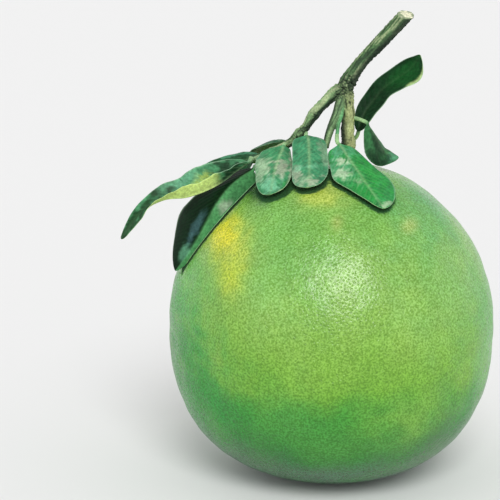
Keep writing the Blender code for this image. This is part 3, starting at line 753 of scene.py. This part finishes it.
def make_twig(twig, fruit):
    """The twig: the branches and the calyx fused into one skin, whose points then take ridges,
    knots and colour from the branch that they are nearest to."""
    cut = unit(np.array(CUT_NORMAL))
    tubes = [branch_tube(branch, cut if name == "stem" else None) for name, branch in BRANCHES.items()]
    parts = [tube[:2] for tube in tubes] + [calyx_shell(fruit)]
    starts = np.cumsum([0] + [len(part[0]) for part in parts])
    points = np.concatenate([part[0] for part in parts])
    triangles = np.concatenate([part[1] + start for part, start in zip(parts, starts)])
    points, triangles = fused(points, triangles, twig.voxel * (1))
    normals = vertex_normals(points, triangles)
    line, radius, along, across, upward = map(np.concatenate, list(zip(*tubes))[2:])
    stem_end = tubes[0][2][-1]
    branch_of = np.repeat(np.arange(len(tubes)), [len(tube[2]) for tube in tubes])
    run = np.concatenate([run_along(tube[2]) for tube in tubes])
    far = np.linalg.norm(points[:, None] - line[None], axis=2) - radius[None]
    nearest = far.argmin(axis=1)
    reach = np.stack([far[:, branch_of == k].min(axis=1) for k in range(len(tubes))], axis=1)
    belongs = np.exp(-(reach - reach.min(axis=1, keepdims=True)) / BRANCH_BLEND)
    belongs = belongs / belongs.sum(axis=1, keepdims=True)
    out = points - line[nearest]
    turn = np.arctan2((out * upward[nearest]).sum(axis=1), (out * across[nearest]).sum(axis=1))
    run = run[nearest] + (out * along[nearest]).sum(axis=1)
    branch_of = branch_of[nearest]
    # Streaks follow the branch: the noise is stretched along it and wraps round it.
    wrap = [np.cos(turn) * 3 * MM, np.sin(turn) * 3 * MM, run * 0.16 + branch_of * 0.1]
    wrap = np.stack(wrap, axis=1)
    lane = ripple(wrap, 3.2 * MM, 21) * 0.6 + ripple(wrap, 1.3 * MM, 22) * 0.5
    ridge = np.cos(of_each("ridges")[branch_of] * turn + 60 * run) * 0.5 + lane
    rough = ripple(points, 1.1 * MM, 23) * 0.4 + ripple(points, 2.6 * MM, 24) * 0.6
    relief = twig.ridge * (ridge * 0.6 + rough * 0.7) * of_each("relief")[branch_of]
    knot = knots_at(points)
    lumps = twig.knot * np.clip(knot, 0, 1) * ripple(points, 2.2 * MM, 31)
    on_cut = step(-0.25 * MM, -0.05 * MM, (points - stem_end) @ cut) * (branch_of == 0)
    core = np.linalg.norm(points - stem_end, axis=1) / CUT_RADIUS
    pith = PITH_DEPTH * np.exp(-((core / PITH_SHARE) ** 2))
    height = (relief + lumps) * (1 - on_cut) - pith * on_cut
    points = points + normals * height[:, None]
    tint = bark_tint(twig, fruit, points, normals, belongs, branch_of, lane, knot, on_cut, core)
    made = mesh_from("pomelo_twig", points, triangles, bark_material(), {}, tint)
    finished(made, "twig")


# The leaves


LEAF_GRID = (150, 49)  # stations along a leaf and columns across it
RIB_WIDTH = 0.75 * MM
RIB_FADING = 0.6  # share of the midrib's relief that is gone at the tip
EDGE_THINNING = 0.55  # share of the blade's thickness that is gone at its edge
VEIN_WIDTH = 0.10  # as a share of the spacing
VEIN_SLANT = 0.95  # how far a side vein runs towards the tip, for its distance outwards
VEIN_BEND = 14  # how much further it does so, for each metre outwards
VEIN_STAGGER = 0.8 * MM  # between the veins of the left half and the right
UNDERSIDE_DUST = 0.5
BLOTCH_EDGE = (1.25, 0.35)  # where a blotch ends and where it is full, as shares of its size
# Each slot's roughness and gloss.
LEAF_FINISHES = {"leaf": (0.46, 0.14), "dark_leaf": (0.40, 0.05), "pale_leaf": (0.42, 0.16)}

# Colours that the leaves' blotches name. The dark one is painted shade, and the bluish one a painted
# reflection of the sky.
BLOTCHES = {
    "dust": (0.42, 0.44, 0.36),
    "pink": (0.40, 0.41, 0.31),
    "mist": (0.42, 0.56, 0.36),
    "teal": (0.15, 0.44, 0.25),
    "bright": (0.022, 0.285, 0.045),
    "dark": (0.010, 0.040, 0.016),
    "painted_sky_reflection": (0.045, 0.110, 0.115),
    "lime": (0.42, 0.56, 0.10),
    "pale": (0.44, 0.60, 0.24),
    "sea": (0.10, 0.36, 0.20),
    "forest": (0.010, 0.052, 0.015),
}

# root: where the stalk starts inside the twig. path: the midrib from there to the tip. Both are
# in millimetres, and a leaf's shares run from the path's first stop to its last. stalk: the
# stalk's share. face: which way the upper side looks, from base to tip. left and right: half
# widths in millimetres, closer together towards both ends of the blade. fold: how each half
# lifts from flat at the midrib, left first, and curl: how much more it turns by its edge, in
# degrees from base to tip. wave: height, number and start of the edge's waves, and calm: the
# share of that height on the left. wing: half width of the winged stalk, and winged: where on the
# stalk it is widest and how far it spreads. lie: how far above the rind the blade's middle
# stays, and rise: how much more its edge does. shade: how far round it the rind gets painted shade.
# slot: the material. veins: how clearly its veins show. tone: the upper side's colour, with
# other on its right half, stem_tone on the stalk and rib on the midrib. under: the lower side's
# colour, same: the upper side's share in it, and bare: between which shares that falls from all.
# wander: how unevenly the blotches' edges run, and combed: how much of that follows the veins.
# blotches: share along, place across from -1 on the right to 1 on the left, half sizes of both,
# the colour and its strength.
LEAVES = {
    "leaf_front_left": dict(
        root=(-22.4, 0.2, 165.4),
        path=[(-23.4, -2.6, 166.0), (-24.6, -6.4, 163.9), (-26.6, -12.4, 160.0),
              (-28.4, -19.2, 155.4), (-29.7, -26.0, 150.4), (-30.6, -32.5, 145.6)],
        face=[(0, 0.1, 1), (-0.15, -0.3, 1), (-0.3, -0.6, 0.8), (-0.35, -0.75, 0.6)],
        left=[0, 9.5, 11.6, 11.6, 10.6, 9.0, 6.4, 3.4, 0],
        right=[0, 3.5, 5.2, 7.2, 8.6, 8.8, 8.0, 5.0, 0],
        stalk=0.05, fold=([8, -4], [-4, -4]), curl=([-24, -20], [-10, -15]),
        wave=(0.8, 2.3, 0.1), lie=0.9, rise=2.2, shade=1.8, slot="leaf", tone=(0.042, 0.225, 0.092),
        blotches=[(0.5, 0.7, 0.26, 0.5, "mist", 0.6), (0.82, 0.1, 0.22, 0.7, "teal", 0.9),
                  (0.47, -0.3, 0.2, 0.55, "pink", 0.6), (0.55, -1.0, 0.5, 0.22, "pink", 0.6),
                  (0.80, -0.75, 0.1, 0.2, "bright", 0.6)],
    ),
    "leaf_front_middle": dict(
        root=(-12.8, 0.6, 171.4),
        path=[(-13.0, -3.4, 169.6), (-12.2, -6.0, 170.6), (-11.8, -11.5, 167.4),
              (-11.8, -19.5, 161.8), (-12.1, -28.0, 155.6), (-12.9, -36.0, 149.6)],
        face=[(0, 0.3, 1), (0, -0.5, 1), (-0.1, -0.7, 0.8), (-0.1, -0.8, 0.55)],
        left=[0, 6.0, 8.0, 8.2, 8.3, 8.5, 7.6, 4.8, 0],
        right=[0, 7.0, 8.8, 9.0, 9.2, 9.0, 7.6, 4.8, 0],
        stalk=0.05, fold=([-5, -4], [-5, -4]), curl=([-8, -12], [-8, -12]),
        wave=(0.3, 1.6, 0.4), lie=2.9, rise=0.4, shade=0.6, slot="leaf", tone=(0.043, 0.215, 0.098),
        blotches=[(0.35, -0.8, 0.4, 0.25, "pink", 0.25), (0.90, 0.2, 0.14, 0.9, "mist", 0.5),
                  (0.72, 0.75, 0.16, 0.3, "pink", 0.5), (0.62, 0.1, 0.05, 0.8, "teal", 0.6),
                  (0.90, -0.2, 0.08, 0.6, "pink", 0.5)],
    ),
    "leaf_front_right": dict(
        root=(2.1, -4.9, 171.2),
        path=[(2.2, -7.2, 167.8), (4.0, -9.4, 166.0), (7.7, -17.0, 161.0), (12.2, -26.5, 155.4),
              (17.0, -36.0, 149.2), (22.6, -45.0, 142.0)],
        face=[(-0.1, 0, 1), (0.1, -0.3, 1), (0.15, -0.5, 0.9), (0.25, -0.62, 0.75)],
        left=[0, 6.6, 9.4, 11.8, 13.6, 9.8, 5.8, 2.8, 0],
        right=[0, 5.6, 8.8, 11.4, 13.8, 14.2, 10.6, 5.2, 0],
        stalk=0.04, fold=([2, -2], [2, -2]), curl=([-24, -14], [-24, -14]),
        wave=(0.4, 1.5, 0.3), lie=0.9, rise=1.6, shade=0.8, slot="leaf", combed=0.25,
        tone=(0.026, 0.225, 0.056),
        blotches=[(0.35, 0.55, 0.26, 0.6, "teal", 0.4), (0.28, 0.40, 0.07, 0.30, "mist", 0.9),
                  (0.45, 0.60, 0.08, 0.30, "mist", 0.75), (0.6, 0.25, 0.05, 0.2, "mist", 0.45),
                  (0.75, 0.4, 0.2, 0.5, "bright", 0.6), (0.5, -0.5, 0.32, 0.5, "bright", 0.8),
                  (0.12, 0.0, 0.12, 0.9, "sea", 0.5), (0.97, -0.3, 0.05, 0.8, "mist", 0.6)],
    ),
    "leaf_upright": dict(
        root=(9.6, 2.2, 166.6),
        path=[(12.4, 3.8, 169.6), (13.9, 5.5, 175.0), (16.9, 8.5, 181.0), (20.9, 10.3, 186.2),
              (25.8, 11.0, 192.1), (33.1, 10.6, 197.6), (38.8, 9.0, 202.2), (42.8, 6.2, 208.8)],
        face=[(-0.5, -0.7, 0.5), (-0.4, -0.75, 0.5), (-0.35, -0.8, 0.5), (-0.25, -0.8, 0.5)],
        left=[0, 4.2, 6.4, 7.3, 7.7, 9.0, 10.2, 5.4, 0],
        right=[0, 2.2, 4.2, 5.5, 5.9, 5.8, 5.2, 2.0, 0],
        stalk=0.04, fold=([10, 10], [14, 10]), curl=([10, 20], [10, 10]),
        wave=(0.5, 1.5, 0.0), lie=0.9, slot="dark_leaf", veins=0.1, wander=0.25,
        # Painted shade: the near-black tone of the side turned from the light.
        tone=(0.007, 0.033, 0.011), stem_tone=(0.14, 0.26, 0.10),
        blotches=[(0.78, 0.1, 0.26, 0.9, "bright", 0.17), (0.84, 1.0, 0.13, 0.22, "pale", 0.95)],
    ),
    "leaf_small_folded": dict(
        root=(9.6, 0.8, 179.0),
        path=[(12.4, -0.6, 178.4), (14.3, -1.6, 177.8), (17.0, -3.0, 176.6), (19.8, -3.5, 172.4),
              (22.6, -4.5, 167.4), (25.4, -6.0, 163.0), (32.0, -8.0, 160.2)],
        face=[(0.2, -0.5, 0.8), (0.2, -0.95, 0.2), (0.2, -0.95, 0.2), (-0.1, -0.7, 0.7)],
        left=[0, 2.6, 4.6, 6.6, 8.4, 8.0, 4.6, 2.0, 0],
        right=[0, 1.8, 3.4, 4.8, 5.4, 4.8, 3.0, 1.6, 0],
        stalk=0.2, fold=([-10, -20], [-100, -30]), curl=([-10, -10], [-10, -10]),
        wave=(0.2, 1.2, 0.0), lie=0.9, slot="leaf", veins=0.2, wander=0.4,
        tone=(0.030, 0.130, 0.045), other=(0.030, 0.130, 0.045),
        # The dark blotches are painted shade in the leaf's fold.
        blotches=[(0.92, 0.0, 0.12, 1.0, "sea", 0.6), (0.58, 0.12, 0.30, 0.30, "dark", 1.0),
                  (0.76, 0.7, 0.16, 0.5, "dark", 0.95)],
    ),
    "leaf_left_curled": dict(
        root=(-33.6, 1.4, 160.2),
        path=[(-36.2, 0.6, 159.4), (-40.7, -2.6, 157.4), (-47.1, -5.6, 153.4), (-53.9, -9.0, 148.6),
              (-62.1, -12.5, 144.8), (-71.3, -15.0, 142.2), (-80.9, -17.0, 141.6),
              (-89.5, -19.0, 138.1), (-96.3, -20.5, 131.5), (-102.7, -20.5, 122.6)],
        face=[(0, -0.2, 1), (-0.1, -0.3, 1), (-0.1, -0.3, 1), (-0.5, -0.6, 0.7)],
        left=[0, 4.0, 9.0, 12.4, 10.0, 5.6, 3.6, 1.8, 0],
        right=[0, 3.0, 6.2, 7.6, 7.4, 5.4, 3.6, 1.8, 0],
        stalk=0.08, wing=2.2, fold=([44, 52, 50, 26, 0], [50, 66, 66, 24, -24]),
        curl=([16, 10], [12, 0]), wave=(1.1, 4.8, 0.73), calm=0.3, lie=0.9, slot="pale_leaf", veins=0.3,
        tone=(0.060, 0.230, 0.100), stem_tone=(0.26, 0.40, 0.20),
        # Painted shade: the dark rib along the crease of the fold.
        under=(0.62, 0.80, 0.24), same=0.05, bare=(0.36, 0.26), rib=(0.015, 0.060, 0.025),
        blotches=[(0.38, 0.40, 0.09, 0.35, "lime", 0.8), (0.52, 0.75, 0.16, 0.35, "teal", 0.7),
                  # Painted shade: the dark blotch near the base, where the leaves round it shade it.
                  (0.96, 0, 0.42, 1.5, "forest", 1.0), (0.20, 0, 0.12, 1.5, "dark", 0.9)],
    ),
    "leaf_left_folded": dict(
        root=(-33.0, 0.6, 158.8),
        path=[(-36.0, -2.6, 155.6), (-41.7, -5.6, 152.6), (-46.6, -9.5, 149.8), (-51.9, -14.5, 145.4),
              (-56.7, -18.5, 139.2), (-60.8, -21.0, 132.0), (-65.2, -21.8, 123.8),
              (-70.5, -20.5, 115.2), (-76.6, -17.6, 106.1)],
        face=[(-0.25, -0.5, 1), (-0.45, -0.75, 0.5), (-0.5, -0.75, 0.4), (-0.6, -0.72, 0.3)],
        left=[0, 8.0, 10.8, 15.8, 20.8, 22.2, 16.6, 8.6, 0],
        right=[0, 6.4, 10.4, 11.6, 9.6, 6.0, 3.2, 1.4, 0],
        stalk=0.05, fold=([-16, -6], [-26, -42]), curl=([-10, -16], [-10, -10]),
        wave=(0.4, 2.0, 0.0), lie=0.9, slot="dark_leaf", veins=0.1,
        # Painted shade: the left half's near-black tone, against the right half's green (other).
        tone=(0.002, 0.016, 0.005), other=(0.060, 0.230, 0.078), stem_tone=(0.20, 0.38, 0.20), shade=0.6,
        wing=4.4, winged=(0.2, 0.6), wander=0.4,
        # The bluish blotch is a painted reflection of the sky on the glossy left half.
        blotches=[(0.66, 0.22, 0.17, 0.16, "painted_sky_reflection", 0.8), (0.86, 0.1, 0.08, 0.3, "teal", 0.45),
                  (0.42, -0.45, 0.07, 0.35, "dust", 0.45), (0.25, -0.5, 0.14, 0.5, "forest", 0.4)],
    ),
    "leaf_left_back": dict(
        root=(-32.6, 2.6, 160.6),
        path=[(-35.0, 4.6, 160.0), (-41.2, 9.0, 157.0), (-50.2, 12.0, 153.6), (-61.2, 13.0, 150.8),
              (-70.6, 11.6, 149.2)],
        face=[(0, -0.4, 1), (0, -0.6, 0.8), (-0.1, -0.6, 0.8), (-0.3, -0.5, 0.8)],
        left=[0, 3.0, 6.4, 8.4, 8.8, 7.0, 4.4, 2.2, 0],
        right=[0, 8.6, 10.8, 11.0, 10.6, 8.0, 4.6, 2.2, 0],
        stalk=0.06, wing=2.0, fold=([-6, -8], [-6, -8]), curl=([-8, -12], [-8, -12]),
        wave=(0.5, 2.0, 0.5), lie=1.2, slot="dark_leaf", veins=0.3,
        # Its dark tone and stalk are partly painted shade, as it lies behind the others.
        tone=(0.012, 0.066, 0.022), stem_tone=(0.03, 0.09, 0.03), same=0.8,
        blotches=[(0.4, 0.85, 0.4, 0.2, "sea", 0.5)],
    ),
    "leaf_back_short": dict(
        root=(-22.2, 2.2, 164.8),
        path=[(-23.2, 4.8, 165.4), (-26.2, 11.0, 166.4), (-30.2, 19.0, 164.0), (-35.0, 28.0, 158.0),
              (-40.0, 36.0, 150.4)],
        face=[(0, -0.1, 1), (-0.1, 0.1, 1), (-0.3, 0.4, 0.9), (-0.4, 0.6, 0.8)],
        left=[0, 4.0, 7.0, 9.4, 10.4, 9.6, 7.0, 4.0, 0],
        right=[0, 4.0, 7.0, 9.4, 10.4, 9.6, 7.0, 4.0, 0],
        stalk=0.08, wing=2.2, fold=([-6, -8], [-6, -8]), curl=([-14, -16], [-14, -16]),
        wave=(0.5, 2.0, 0.2), lie=0.9, slot="dark_leaf", veins=0.5,
        # Its dark tone and stalk are partly painted shade, as it lies behind the others.
        tone=(0.020, 0.100, 0.045), stem_tone=(0.03, 0.09, 0.03), same=0.85,
        blotches=[(0.5, 0.5, 0.3, 0.4, "sea", 0.4), (0.7, -0.4, 0.2, 0.3, "dust", 0.3)],
    ),
}


def half_widths(leaf, settings, share):
    """Half the leaf's width along its midrib, for the left and the right half: the stalk, its
    small wing, then the blade."""
    stalk = leaf["stalk"]
    blade = np.clip((share - stalk) / (1 - stalk), 0, 1)
    step_of = np.arccos(1 - 2 * blade) / np.pi
    place, spread = leaf.get("winged", (0.6, 0.25))
    wing = leaf.get("wing", 0) * MM * np.exp(-(((share / stalk - place) / spread) ** 2))
    least = settings.stalk * np.where(share > stalk, 0.25, 1)
    return [np.maximum(np.maximum(smooth(leaf[side], step_of) * MM, wing), least)
            for side in ("left", "right")]


def off_the_rind(fruit, points, gap):
    """Pushes points that would sink into the fruit out along the line from its centre, onto a
    surface that stands the gap off the rind."""
    centre = np.array([0, 0, fruit.widest_height])
    out = points - centre
    round_axis = girth(fruit, np.arctan2(points[..., 1], points[..., 0]))
    reach = np.sqrt(
        (np.hypot(out[..., 0], out[..., 1]) / (fruit.radius * round_axis + gap)) ** 2
        + (out[..., 2] / (fruit.top_height + gap)) ** 2
    )
    return centre + out * np.maximum(1 / reach, 1)[..., None]


def leaf_surface(leaf, settings, fruit, stations, columns):
    """The middle of the leaf as a grid of points, stations along the midrib by columns across
    it. Each half leaves the midrib at its fold angle and turns by its curl on the way to the
    edge, where it waves."""
    path = np.array([leaf["root"], *leaf["path"]]) * MM
    fine = smooth(path, np.linspace(0, 1, 1 + CURVE_STEPS * (len(path) - 1)))
    run = run_along(fine)
    first = run[CURVE_STEPS]
    whole = run[-1] - first
    even = np.linspace(0, 1, stations)
    share = 0.45 * even + 0.55 * (1 - np.cos(np.pi * even)) / 2
    share = -first / whole + share * (0.999 + first / whole)
    line = points_at(fine, first + share * whole)
    along = unit(np.gradient(line, axis=0))
    face = smooth(leaf["face"], share)
    face = unit(face - (face * along).sum(axis=1, keepdims=True) * along)
    aside = np.cross(along, face)
    even = np.linspace(-1, 1, columns)
    t = np.sign(even) * np.abs(even) ** 1.3
    left = t > 0
    widths = half_widths(leaf, settings, share)
    width = np.where(left, widths[0][:, None], widths[1][:, None])
    fold = np.where(left, *[smooth(turn, share)[:, None] for turn in leaf["fold"]])
    curl = np.where(left, *[smooth(turn, share)[:, None] for turn in leaf["curl"]])
    out = np.abs(t)[None, :]
    bend = np.radians(fold + curl * out / 2)
    sideways = width * out * np.cos(bend) * np.sign(t)[None, :]
    height, number, start = leaf["wave"]
    turns = number * share[:, None] + start + 0.37 * left[None, :]
    swing = np.sin(2 * np.pi * turns) + 0.3 * np.sin(2 * np.pi * 2.7 * turns + 1)
    height = height * MM * np.where(left, leaf.get("calm", 1), 1)
    lift = width * out * np.sin(bend) + height * swing * out**2 * width / width.max()
    surface = line[:, None] + aside[:, None] * sideways[..., None] + face[:, None] * lift[..., None]
    across = width * t[None, :]
    gap = leaf["lie"] + leaf.get("rise", 0) * np.maximum(out**3, step(0.75, 1.0, share)[:, None])
    return off_the_rind(fruit, surface, gap * MM), share, t, across, share * whole


def sheet_triangles(rows, columns):
    """Triangles of a closed sheet: an upper grid of points, a lower one and the rim between."""
    count = rows * columns
    index = np.arange(count).reshape(rows, columns)
    a, b = index[:-1, :-1].ravel(), index[:-1, 1:].ravel()
    c, d = index[1:, 1:].ravel(), index[1:, :-1].ravel()
    sheet = np.concatenate([np.stack([a, b, c], 1), np.stack([a, c, d], 1)])
    rim = np.concatenate([index[0], index[1:, -1], index[-1, -2::-1], index[-2:0:-1, 0]])
    after = np.roll(rim, -1)
    edge = np.concatenate([np.stack([rim, after + count, after], 1),
                           np.stack([rim, rim + count, after + count], 1)])
    return np.concatenate([sheet, sheet[:, ::-1] + count, edge])


def make_leaf(name, leaf, settings, fruit, material):
    """A leaf: a grid of points offset up and down along its own normal, closed by a rim, with a
    grooved midrib, sunken side veins and a blade that swells a little between them."""
    stations, columns = LEAF_GRID
    middle, share, t, across, run = leaf_surface(leaf, settings, fruit, stations, columns)
    normal = -unit(np.cross(np.gradient(middle, axis=0), np.gradient(middle, axis=1)))
    on_blade = step(0.8, 1.3, share / leaf["stalk"])[:, None]
    far = np.abs(across)
    out = np.abs(t)[None, :]
    fading = (1 - RIB_FADING * np.clip(share, 0, 1))[:, None]
    rib = np.exp(-((far / RIB_WIDTH) ** 2)) * on_blade * fading
    place = run[:, None] - VEIN_SLANT * far - VEIN_BEND * far**2 + VEIN_STAGGER * (across > 0)
    place = place / settings.vein_spacing
    beside = np.abs(place - np.round(place))
    vein = np.exp(-((beside / VEIN_WIDTH) ** 2)) * on_blade * (1 - out**3)
    vein = vein * step(0.2 * MM, 1.2 * MM, far)
    swell = np.cos(2 * np.pi * (place - 0.5)) * on_blade * out * (1 - out**2)
    relief = settings.quilting * swell - settings.vein_depth * vein
    blade = settings.blade * (1 - EDGE_THINNING * out**8)
    stalk = 2 * settings.stalk * np.sqrt(np.clip(1 - t**2, 0.02, 1))[None, :]
    half = (blade * on_blade + stalk * (1 - on_blade)) / 2
    upper = middle + normal * (half + relief - settings.groove * rib)[..., None]
    lower = middle - normal * (half - relief + settings.midrib * rib)[..., None]
    points = np.concatenate([upper.reshape(-1, 3), lower.reshape(-1, 3)])
    triangles = sheet_triangles(stations, columns)
    a, b, c = points[triangles.T]
    if (np.cross(a, b) * c).sum() < 0:
        triangles = triangles[:, ::-1]
    tint, dust = leaf_tint(leaf, settings, middle, share, t, across, run, rib, vein)
    same = np.maximum(leaf.get("same", 0.5), step(*leaf.get("bare", (0.0, -0.1)), share))
    under = mix(leaf.get("under", tuple(settings.under)), tint, same[:, None] + 0 * across)
    under = mix(under, settings.vein, np.clip(rib + 0.5 * vein, 0, 1) * 0.4)
    tint = np.concatenate([tint.reshape(-1, 3), under.reshape(-1, 3)])
    dust = np.concatenate([dust.ravel(), np.full(dust.size, UNDERSIDE_DUST)])
    made = mesh_from("pomelo_" + name, points, triangles, material, {"dust": dust}, tint)
    finished(made, name)


def leaf_tint(leaf, settings, middle, share, t, across, run, rib, vein):
    """The upper side's colour and its dust: the leaf's tone, its blotches with wandering edges,
    then pale veins and a pale line along the edge."""
    # The blotches' edges wander, and along the side veins more than across them.
    lanes = [run[:, None] - VEIN_SLANT * np.abs(across), 0.35 * across, 0 * across]
    combed = ripple(np.stack(lanes, axis=-1), 1.6 * MM, 42) * leaf.get("combed", 0.15)
    wander = (ripple(middle, 5 * MM, 41) * 0.35 + combed) * leaf.get("wander", 1)
    mottle = ripple(middle, 2.4 * MM, 43) * 0.10 + ripple(middle, 7 * MM, 44) * 0.10
    out = np.abs(t)[None, :]
    on_left = step(-0.06, 0.06, t)[None, :] * np.ones_like(rib)
    tint = mix(leaf.get("other", leaf["tone"]), leaf["tone"], on_left) * (1 + mottle)[..., None]
    dust = np.zeros(middle.shape[:2])
    for place, side, long, wide, name, strength in leaf["blotches"]:
        far = np.hypot((share[:, None] - place) / long, (t[None, :] - side) / wide)
        weight = step(*BLOTCH_EDGE, far + wander) * strength
        tint = mix(tint, BLOTCHES[name], weight)
        if name in ("dust", "pink", "mist"):
            dust = np.maximum(dust, weight)
    shown = leaf.get("veins", 1)
    tint = mix(tint, settings.vein, np.clip(rib * 0.5 + vein * 0.13, 0, 1) * shown)
    if "rib" in leaf:
        tint = mix(tint, leaf["rib"], np.clip(rib * 1.2, 0, 1))
    tint = mix(tint, settings.edge, step(0.93, 1.0, out) * 0.55 * np.ones_like(rib))
    stalk = step(1.1, 0.6, share / leaf["stalk"])[:, None] * np.ones_like(rib)
    return mix(tint, leaf.get("stem_tone", tuple(settings.vein)), stalk * 0.85), dust


# Operators


class POMELO_OT_make_fruit(bpy.types.Operator):
    """Make the fruit with its pitted rind"""

    bl_idname = "pomelo.make_fruit"
    bl_label = "Make Fruit"

    def execute(self, context):
        make_fruit(context.scene.pomelo.fruit, context.scene.pomelo.leaves)
        return {"FINISHED"}


class POMELO_OT_make_twig(bpy.types.Operator):
    """Make the cut stem with its shoots, the fruit's stalk and the calyx"""

    bl_idname = "pomelo.make_twig"
    bl_label = "Make Twig"

    def execute(self, context):
        make_twig(context.scene.pomelo.twig, context.scene.pomelo.fruit)
        return {"FINISHED"}


class POMELO_OT_make_leaves(bpy.types.Operator):
    """Make every leaf with its veins and its dusty bloom"""

    bl_idname = "pomelo.make_leaves"
    bl_label = "Make Leaves"

    def execute(self, context):
        settings = context.scene.pomelo
        materials = {
            slot: leaf_material("pomelo_" + slot, *finish) for slot, finish in LEAF_FINISHES.items()
        }
        for name, leaf in LEAVES.items():
            make_leaf(name, leaf, settings.leaves, settings.fruit, materials[leaf["slot"]])
        return {"FINISHED"}


class POMELO_OT_make_stage(bpy.types.Operator):
    """Make the floor, the soft lights and the camera"""

    bl_idname = "pomelo.make_stage"
    bl_label = "Make Stage"

    def execute(self, context):
        make_stage(context.scene.pomelo.stage)
        return {"FINISHED"}


class POMELO_PT_panel(bpy.types.Panel):
    """Makes the pomelo and holds its settings"""

    bl_idname = "POMELO_PT_panel"
    bl_label = "Pomelo"
    bl_space_type = "VIEW_3D"
    bl_region_type = "UI"
    bl_category = "Pomelo"

    def draw(self, context):
        for operator in OPERATORS:
            self.layout.operator(operator.bl_idname)
        settings = context.scene.pomelo
        for group in (settings.fruit, settings.twig, settings.leaves, settings.stage):
            box = self.layout.box()
            for key in group.__annotations__:
                box.prop(group, key)


# The stage

KEY_DIRECTION = (0.100, -0.758, 0.645)  # from the fruit to the soft light in front
LOOK_AT = (-40.25 * MM, 7.28 * MM, 111.24 * MM)  # what is in the middle of the photograph


def make_stage(stage):
    """A pale floor, an even white surround, one soft light in front and the camera."""
    scene = bpy.context.scene
    scene.view_settings.view_transform = "Standard"
    scene.view_settings.look = "None"
    half = stage.floor_size / 2
    corners = [(-half, -half, 0), (half, -half, 0), (half, half, 0), (-half, half, 0)]
    mesh = bpy.data.meshes.new("floor")
    mesh.from_pydata(corners, [], [(0, 1, 2, 3)])
    finish = {"Roughness": 0.9, "Base Color": (*stage.floor, 1.0)}
    mesh.materials.append(new_material("floor", finish)[0])
    floor = bpy.data.objects.new("floor", mesh)
    scene.collection.objects.link(floor)

    world = bpy.data.worlds.new("surround")
    world.use_nodes = True
    world.node_tree.nodes["Background"].inputs["Color"].default_value = (1, 1, 1, 1)
    tree = world.node_tree
    way = add_node(tree, "TexCoord").outputs["Generated"]
    rise = add_node(tree, "SeparateXYZ", inputs={0: way}).outputs["Z"]
    glow = ranged(tree, rise, 0.0, 0.9, stage.horizon, stage.zenith)
    tree.links.new(glow, tree.nodes["Background"].inputs["Strength"])
    scene.world = world

    light = bpy.data.lights.new("key", "SUN")
    light.angle = np.radians(stage.key_angle)
    light.energy = stage.key_strength
    key = bpy.data.objects.new("key", light)
    key.location = np.array(KEY_DIRECTION)
    key.rotation_euler = aimed(-unit(np.array(KEY_DIRECTION)))
    scene.collection.objects.link(key)

    lens = bpy.data.cameras.new("camera")
    lens.lens = stage.focal
    lens.sensor_width = 36.0
    lens.clip_start = 0.01
    camera = bpy.data.objects.new("camera", lens)
    tilt = np.radians(stage.elevation)
    ahead = np.array([0, np.cos(tilt), -np.sin(tilt)])
    camera.location = np.array(LOOK_AT) - ahead * stage.distance
    camera.rotation_euler = (np.pi / 2 - tilt, 0, 0)
    scene.collection.objects.link(camera)
    scene.camera = camera


def aimed(way):
    """The turn that makes an object's -Z look along a direction, with no roll."""
    flat = np.hypot(way[0], way[1])
    return (np.arctan2(flat, -way[2]), 0, np.arctan2(-way[0], way[1]))


GROUPS = (FruitSettings, TwigSettings, LeafSettings, StageSettings, PomeloSettings)
OPERATORS = (POMELO_OT_make_fruit, POMELO_OT_make_twig, POMELO_OT_make_leaves, POMELO_OT_make_stage)
CLASSES = (*GROUPS, *OPERATORS, POMELO_PT_panel)


def register():
    for made in CLASSES:
        bpy.utils.register_class(made)
    bpy.types.Scene.pomelo = bpy.props.PointerProperty(type=PomeloSettings)


def unregister():
    del bpy.types.Scene.pomelo
    for made in reversed(CLASSES):
        bpy.utils.unregister_class(made)


def main():
    register()
    bpy.ops.pomelo.make_fruit()
    bpy.ops.pomelo.make_twig()
    bpy.ops.pomelo.make_leaves()
    bpy.ops.pomelo.make_stage()


if __name__ == "__main__":
    main()
